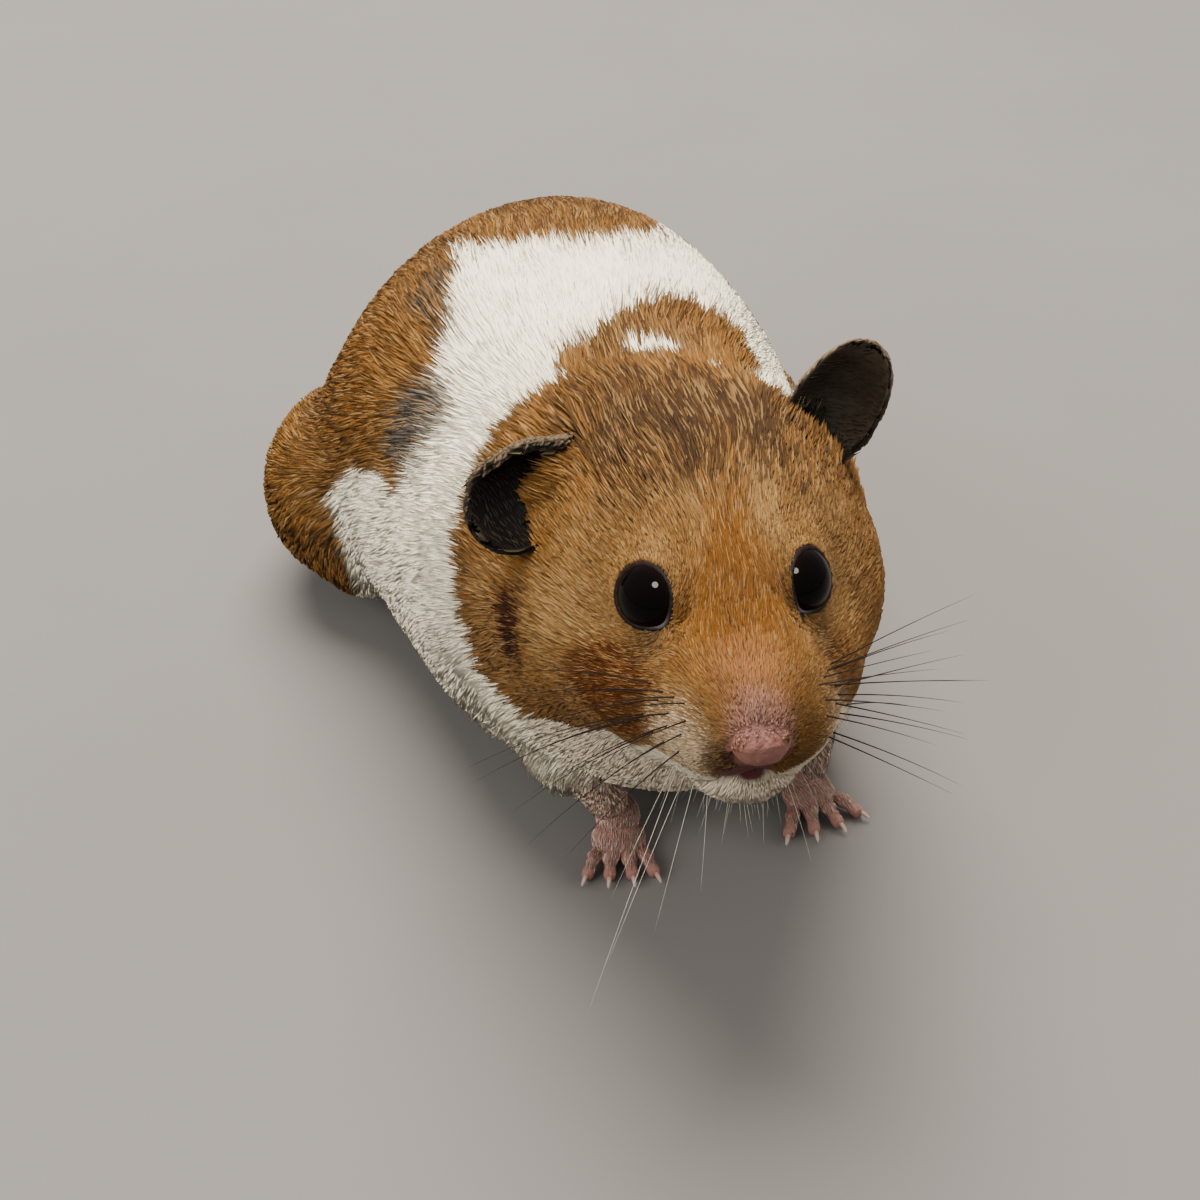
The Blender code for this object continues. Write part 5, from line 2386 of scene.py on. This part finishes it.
@dataclass
class Whiskers:
    """Long stiff hairs of the muzzle, brows and chin.

    Attributes:
        head: The head's frame.
        shell: The skin that they grow from.
        rows: Rows of whiskers on each pad.
        columns: Whiskers in each row.
        chin_hairs: Short hairs under the lower lip.
    """

    head: HeadFrame
    shell: Mesh
    seed: int = 8
    rings: int = 14
    sides: int = 6
    rows: int = 4
    columns: int = 4
    chin_hairs: int = 46

    def _fan(self, side: float, random: np.random.Generator) -> list[Hair]:
        """Rows of whiskers on one pad: root, direction, length, droop and tint of each.

        Args:
            side: 1 for the right pad, -1 for the left.
            random: The source of its chance.

        Returns:
            The hairs.
        """
        made = []
        for row in range(self.rows):
            for place in range(self.columns):
                root = np.array([side * (3.7 + 0.78 * place), 10.6 - 0.95 * place, -4.4 - 0.85 * row])
                root += random.normal(0, 0.15, 3)
                out = 0.95 + 0.12 * random.normal()
                way = np.array([side * out, 0.16 - 0.20 * place + 0.08 * random.normal(), 0.15 - 0.20 * row])
                length = 8.5 + 2.0 * place + 0.6 * row + 3.5 * random.random()
                bow = 0.22 + 0.16 * side + 0.10 * random.random()
                made.append((root, unit(way), length, bow, np.array([0.016, 0.010, 0.007])))
        return made

    def _chin(self, random: np.random.Generator) -> list[Hair]:
        """Pale hairs that hang from lips and chin.

        Args:
            random: The source of its chance.

        Returns:
            The hairs.
        """
        made = []
        pale = np.array([0.74, 0.68, 0.58])
        for number in range(self.chin_hairs):
            x = -5.8 + 11.6 * (number + random.random()) / self.chin_hairs
            root = np.array([x, 12.4 - 0.13 * x * x, -13.2 + 0.06 * x * x])
            way = np.array([0.10 * x + 0.14 * random.normal(), 0.30 + 0.18 * random.normal(), -1.0])
            length = 1.8 + 5.0 * random.random() ** 2.5
            made.append((root, unit(way), length, -0.04, pale))
        for x, length in ((5.8, 21.0), (5.0, 17.0), (6.2, 12.0), (3.6, 13.0), (2.2, 9.0), (-2.8, 8.0)):
            root = np.array([x, 9.0 + 0.2 * random.random(), -11.8])
            way = np.array([0.10 * x, 0.75, -0.8]) + 0.08 * random.normal(0, 1, 3)
            made.append((root, unit(way), length, 0.20 + 0.10 * random.random(), pale))
        return made

    def _brows(self, random: np.random.Generator) -> list[Hair]:
        """A few dark hairs over and behind each eye.

        Args:
            random: The source of its chance.

        Returns:
            The hairs.
        """
        made = []
        dark = np.array([0.11, 0.07, 0.045])
        for side in (1.0, -1.0):
            for place in ((3.9, 2.6, 4.8), (8.6, 3.6, -2.4)):
                root = np.array(place) * (side, 1, 1)
                way = np.array([side * 0.8, -0.2, 0.9 if place[2] > 0 else -0.5])
                way = way + 0.1 * random.normal(0, 1, 3)
                made.append((root, unit(way), 6.5 + 2.5 * random.random(), 0.08, dark))
        return made

    def build(self, material: Material) -> Object:
        """Makes every whisker as one piece.

        Args:
            material: Their finish.

        Returns:
            The piece.
        """
        random = np.random.default_rng(self.seed)
        hairs = self._fan(1.0, random) + self._fan(-1.0, random) + self._chin(random) + self._brows(random)
        tree = BVHTree.FromPolygons(mesh_arrays(self.shell)[0].tolist(), triangles_of(self.shell).tolist())
        shares = np.linspace(0, 1, self.rings)
        paths, radii, tints = [], [], []
        for root, way, length, droop, tint in hairs:
            spot = tree.find_nearest(self.head.world(root).tolist())[0]
            ahead = self.head.way(way)
            sag = np.array([0, 0.35, -1.0]) * droop * length
            path = np.array(spot) - ahead * 0.3 + shares[:, None] * ahead * length
            path = path + (shares**2)[:, None] * sag
            paths.append(path)
            thick = 0.08 if tint[0] < 0.1 else (0.032 if length > 7.5 else 0.02)
            radii.append(thick * (1 - 0.92 * shares**0.8))
            tints.append(tint)
        points, faces, along = tubes(np.array(paths), np.array(radii), self.sides)
        mesh = mesh_of("whiskers", points, faces)
        carry(mesh, "along", along)
        carry(mesh, "tint", np.repeat(np.array(tints), len(points) // len(paths), axis=0))
        obj = new_object("whiskers", mesh)
        ride(obj, material)
        return obj


# ---- studio


@dataclass
class Studio:
    """Pale floor, soft lights and the camera."""

    head: HeadFrame
    camera_offset: Point = (-26.66, -101.36, 86.12)
    tilt: float = 40.0
    azimuth: float = -9.0
    lens: float = 48.0
    floor_size: float = 3.0

    def floor(self) -> None:
        """A wide pale floor that curves up far behind."""
        shape = bmesh.new()
        bmesh.ops.create_grid(shape, x_segments=24, y_segments=24, size=self.floor_size / 2)
        for vertex in shape.verts:
            vertex.co.z = 0.25 * max(0.0, vertex.co.y - 0.7) ** 2
        mesh = bpy.data.meshes.new("floor")
        shape.to_mesh(mesh)
        shape.free()
        mesh.shade_smooth()
        obj = new_object("floor", mesh)
        paint = Paint("floor")
        cloud = paint.noise(60.0, 3.0)
        material = paint.finish(
            Base_Color=paint.mix(cloud, (0.145, 0.138, 0.132), (0.165, 0.158, 0.152)),
            Roughness=0.85,
            Specular_IOR_Level=0.2,
        )
        obj.data.materials.append(material)

    def _area(
        self, name: str, place: Point, aim: Point, size: float, watts: float, tint: Point, shows: bool
    ) -> Object:
        """An area light, which may be left out of reflections.

        Args:
            name: What it is called.
            place: Where it hangs, in metres.
            aim: What it looks at.
            size: Its width.
            watts: Its power.
            tint: Its colour.
            shows: Whether reflections show it.

        Returns:
            The light.
        """
        data = bpy.data.lights.new(name, "AREA")
        data.shape = "DISK"
        data.size = size
        data.energy = watts
        data.color = tint
        obj = bpy.data.objects.new(name, data)
        bpy.context.scene.collection.objects.link(obj)
        obj.location = place
        obj.rotation_euler = (Vector(aim) - Vector(place)).to_track_quat("-Z", "Y").to_euler()
        obj.visible_glossy = shows
        return obj

    def lights(self) -> None:
        """A warm soft light overhead, a small one for the eyes' glint, and weak fills."""
        warm, pale = (1.0, 0.93, 0.84), (1.0, 0.97, 0.93)
        self._area("key", (-0.02, 0.30, 0.66), (0, 0, 0.02), 0.60, 20.5, warm, False)
        glint = self._area("glint", (-0.03, -0.26, 0.62), (0, -0.04, 0.04), 0.20, 6.0, warm, True)
        glint.visible_diffuse = False
        self._area("fill_front", (-0.60, -0.25, 0.45), (0, 0, 0.03), 0.6, 5.5, pale, False)
        self._area("fill_side", (0.6, -0.1, 0.3), (0, 0, 0.03), 0.5, 2.0, warm, False)
        world = bpy.data.worlds.new("studio")
        world.use_nodes = True
        background = world.node_tree.nodes["Background"]
        background.inputs["Color"].default_value = (1.0, 0.97, 0.93, 1.0)
        background.inputs["Strength"].default_value = 0.40
        bpy.context.scene.world = world

    def camera(self) -> None:
        """The camera, placed from the point midway between the eyes."""
        data = bpy.data.cameras.new("camera")
        data.lens = self.lens
        data.sensor_width = 36.0
        data.clip_start = 0.01
        obj = bpy.data.objects.new("camera", data)
        bpy.context.scene.collection.objects.link(obj)
        middle = self.head.world(np.array([0, EYE_PLACE[1], EYE_PLACE[2]]))
        obj.location = Vector(middle + np.array(self.camera_offset)) * MM
        obj.rotation_euler = Euler((math.radians(90 - self.tilt), 0, math.radians(self.azimuth)))
        bpy.context.scene.camera = obj

    def build(self) -> None:
        """Sets up floor, lights and camera."""
        self.floor()
        self.lights()
        self.camera()


# ---- main


def main() -> None:
    """Builds every piece in order."""
    logging.basicConfig(level=logging.INFO, format="%(message)s")
    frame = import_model()
    head = HeadFrame.from_eyes()
    Studio(head).build()
    sockets = EyeSocket.pair(head)
    paws = feet()
    markings = Markings(head)
    ankles = np.array([[*foot.place, 3.0] for foot in paws])
    plan = CoatPlan(head, sockets, markings, ankles, EARS)
    skin = Skin(plan, markings, paws, EARS)
    parts = skin.parts(frame["nodes"])
    skin.build(parts, SkinFinish().material(), EarFinish().material())
    eye = EyeFinish().material()
    for socket in sockets:
        Eye(socket).build(eye)
    claw = ClawFinish().material()
    for foot in paws:
        Claws(foot).build(claw)
    Whiskers(head, parts["body"]).build(WhiskerFinish().material())
    coat = Coat()
    grown = [coat.grow(parts["body"], plan)]
    for ear in EARS:
        grown.append(coat.grow(parts[ear.name], ear.down(1500, outside=True)))
        grown.append(coat.grow(parts[ear.name], ear.down(450, outside=False)))
    grown.append(coat.grow(parts[EARS[1].name], EARS[1].fringe()))
    for foot in paws:
        grown.append(coat.grow(parts[foot.name], foot.down()))
    hair = CoatFinish().material()
    for name, mesh in coat.meshes(Tufts.joined(grown)):
        ride(new_object(name, mesh), hair)


if __name__ == "__main__":
    main()
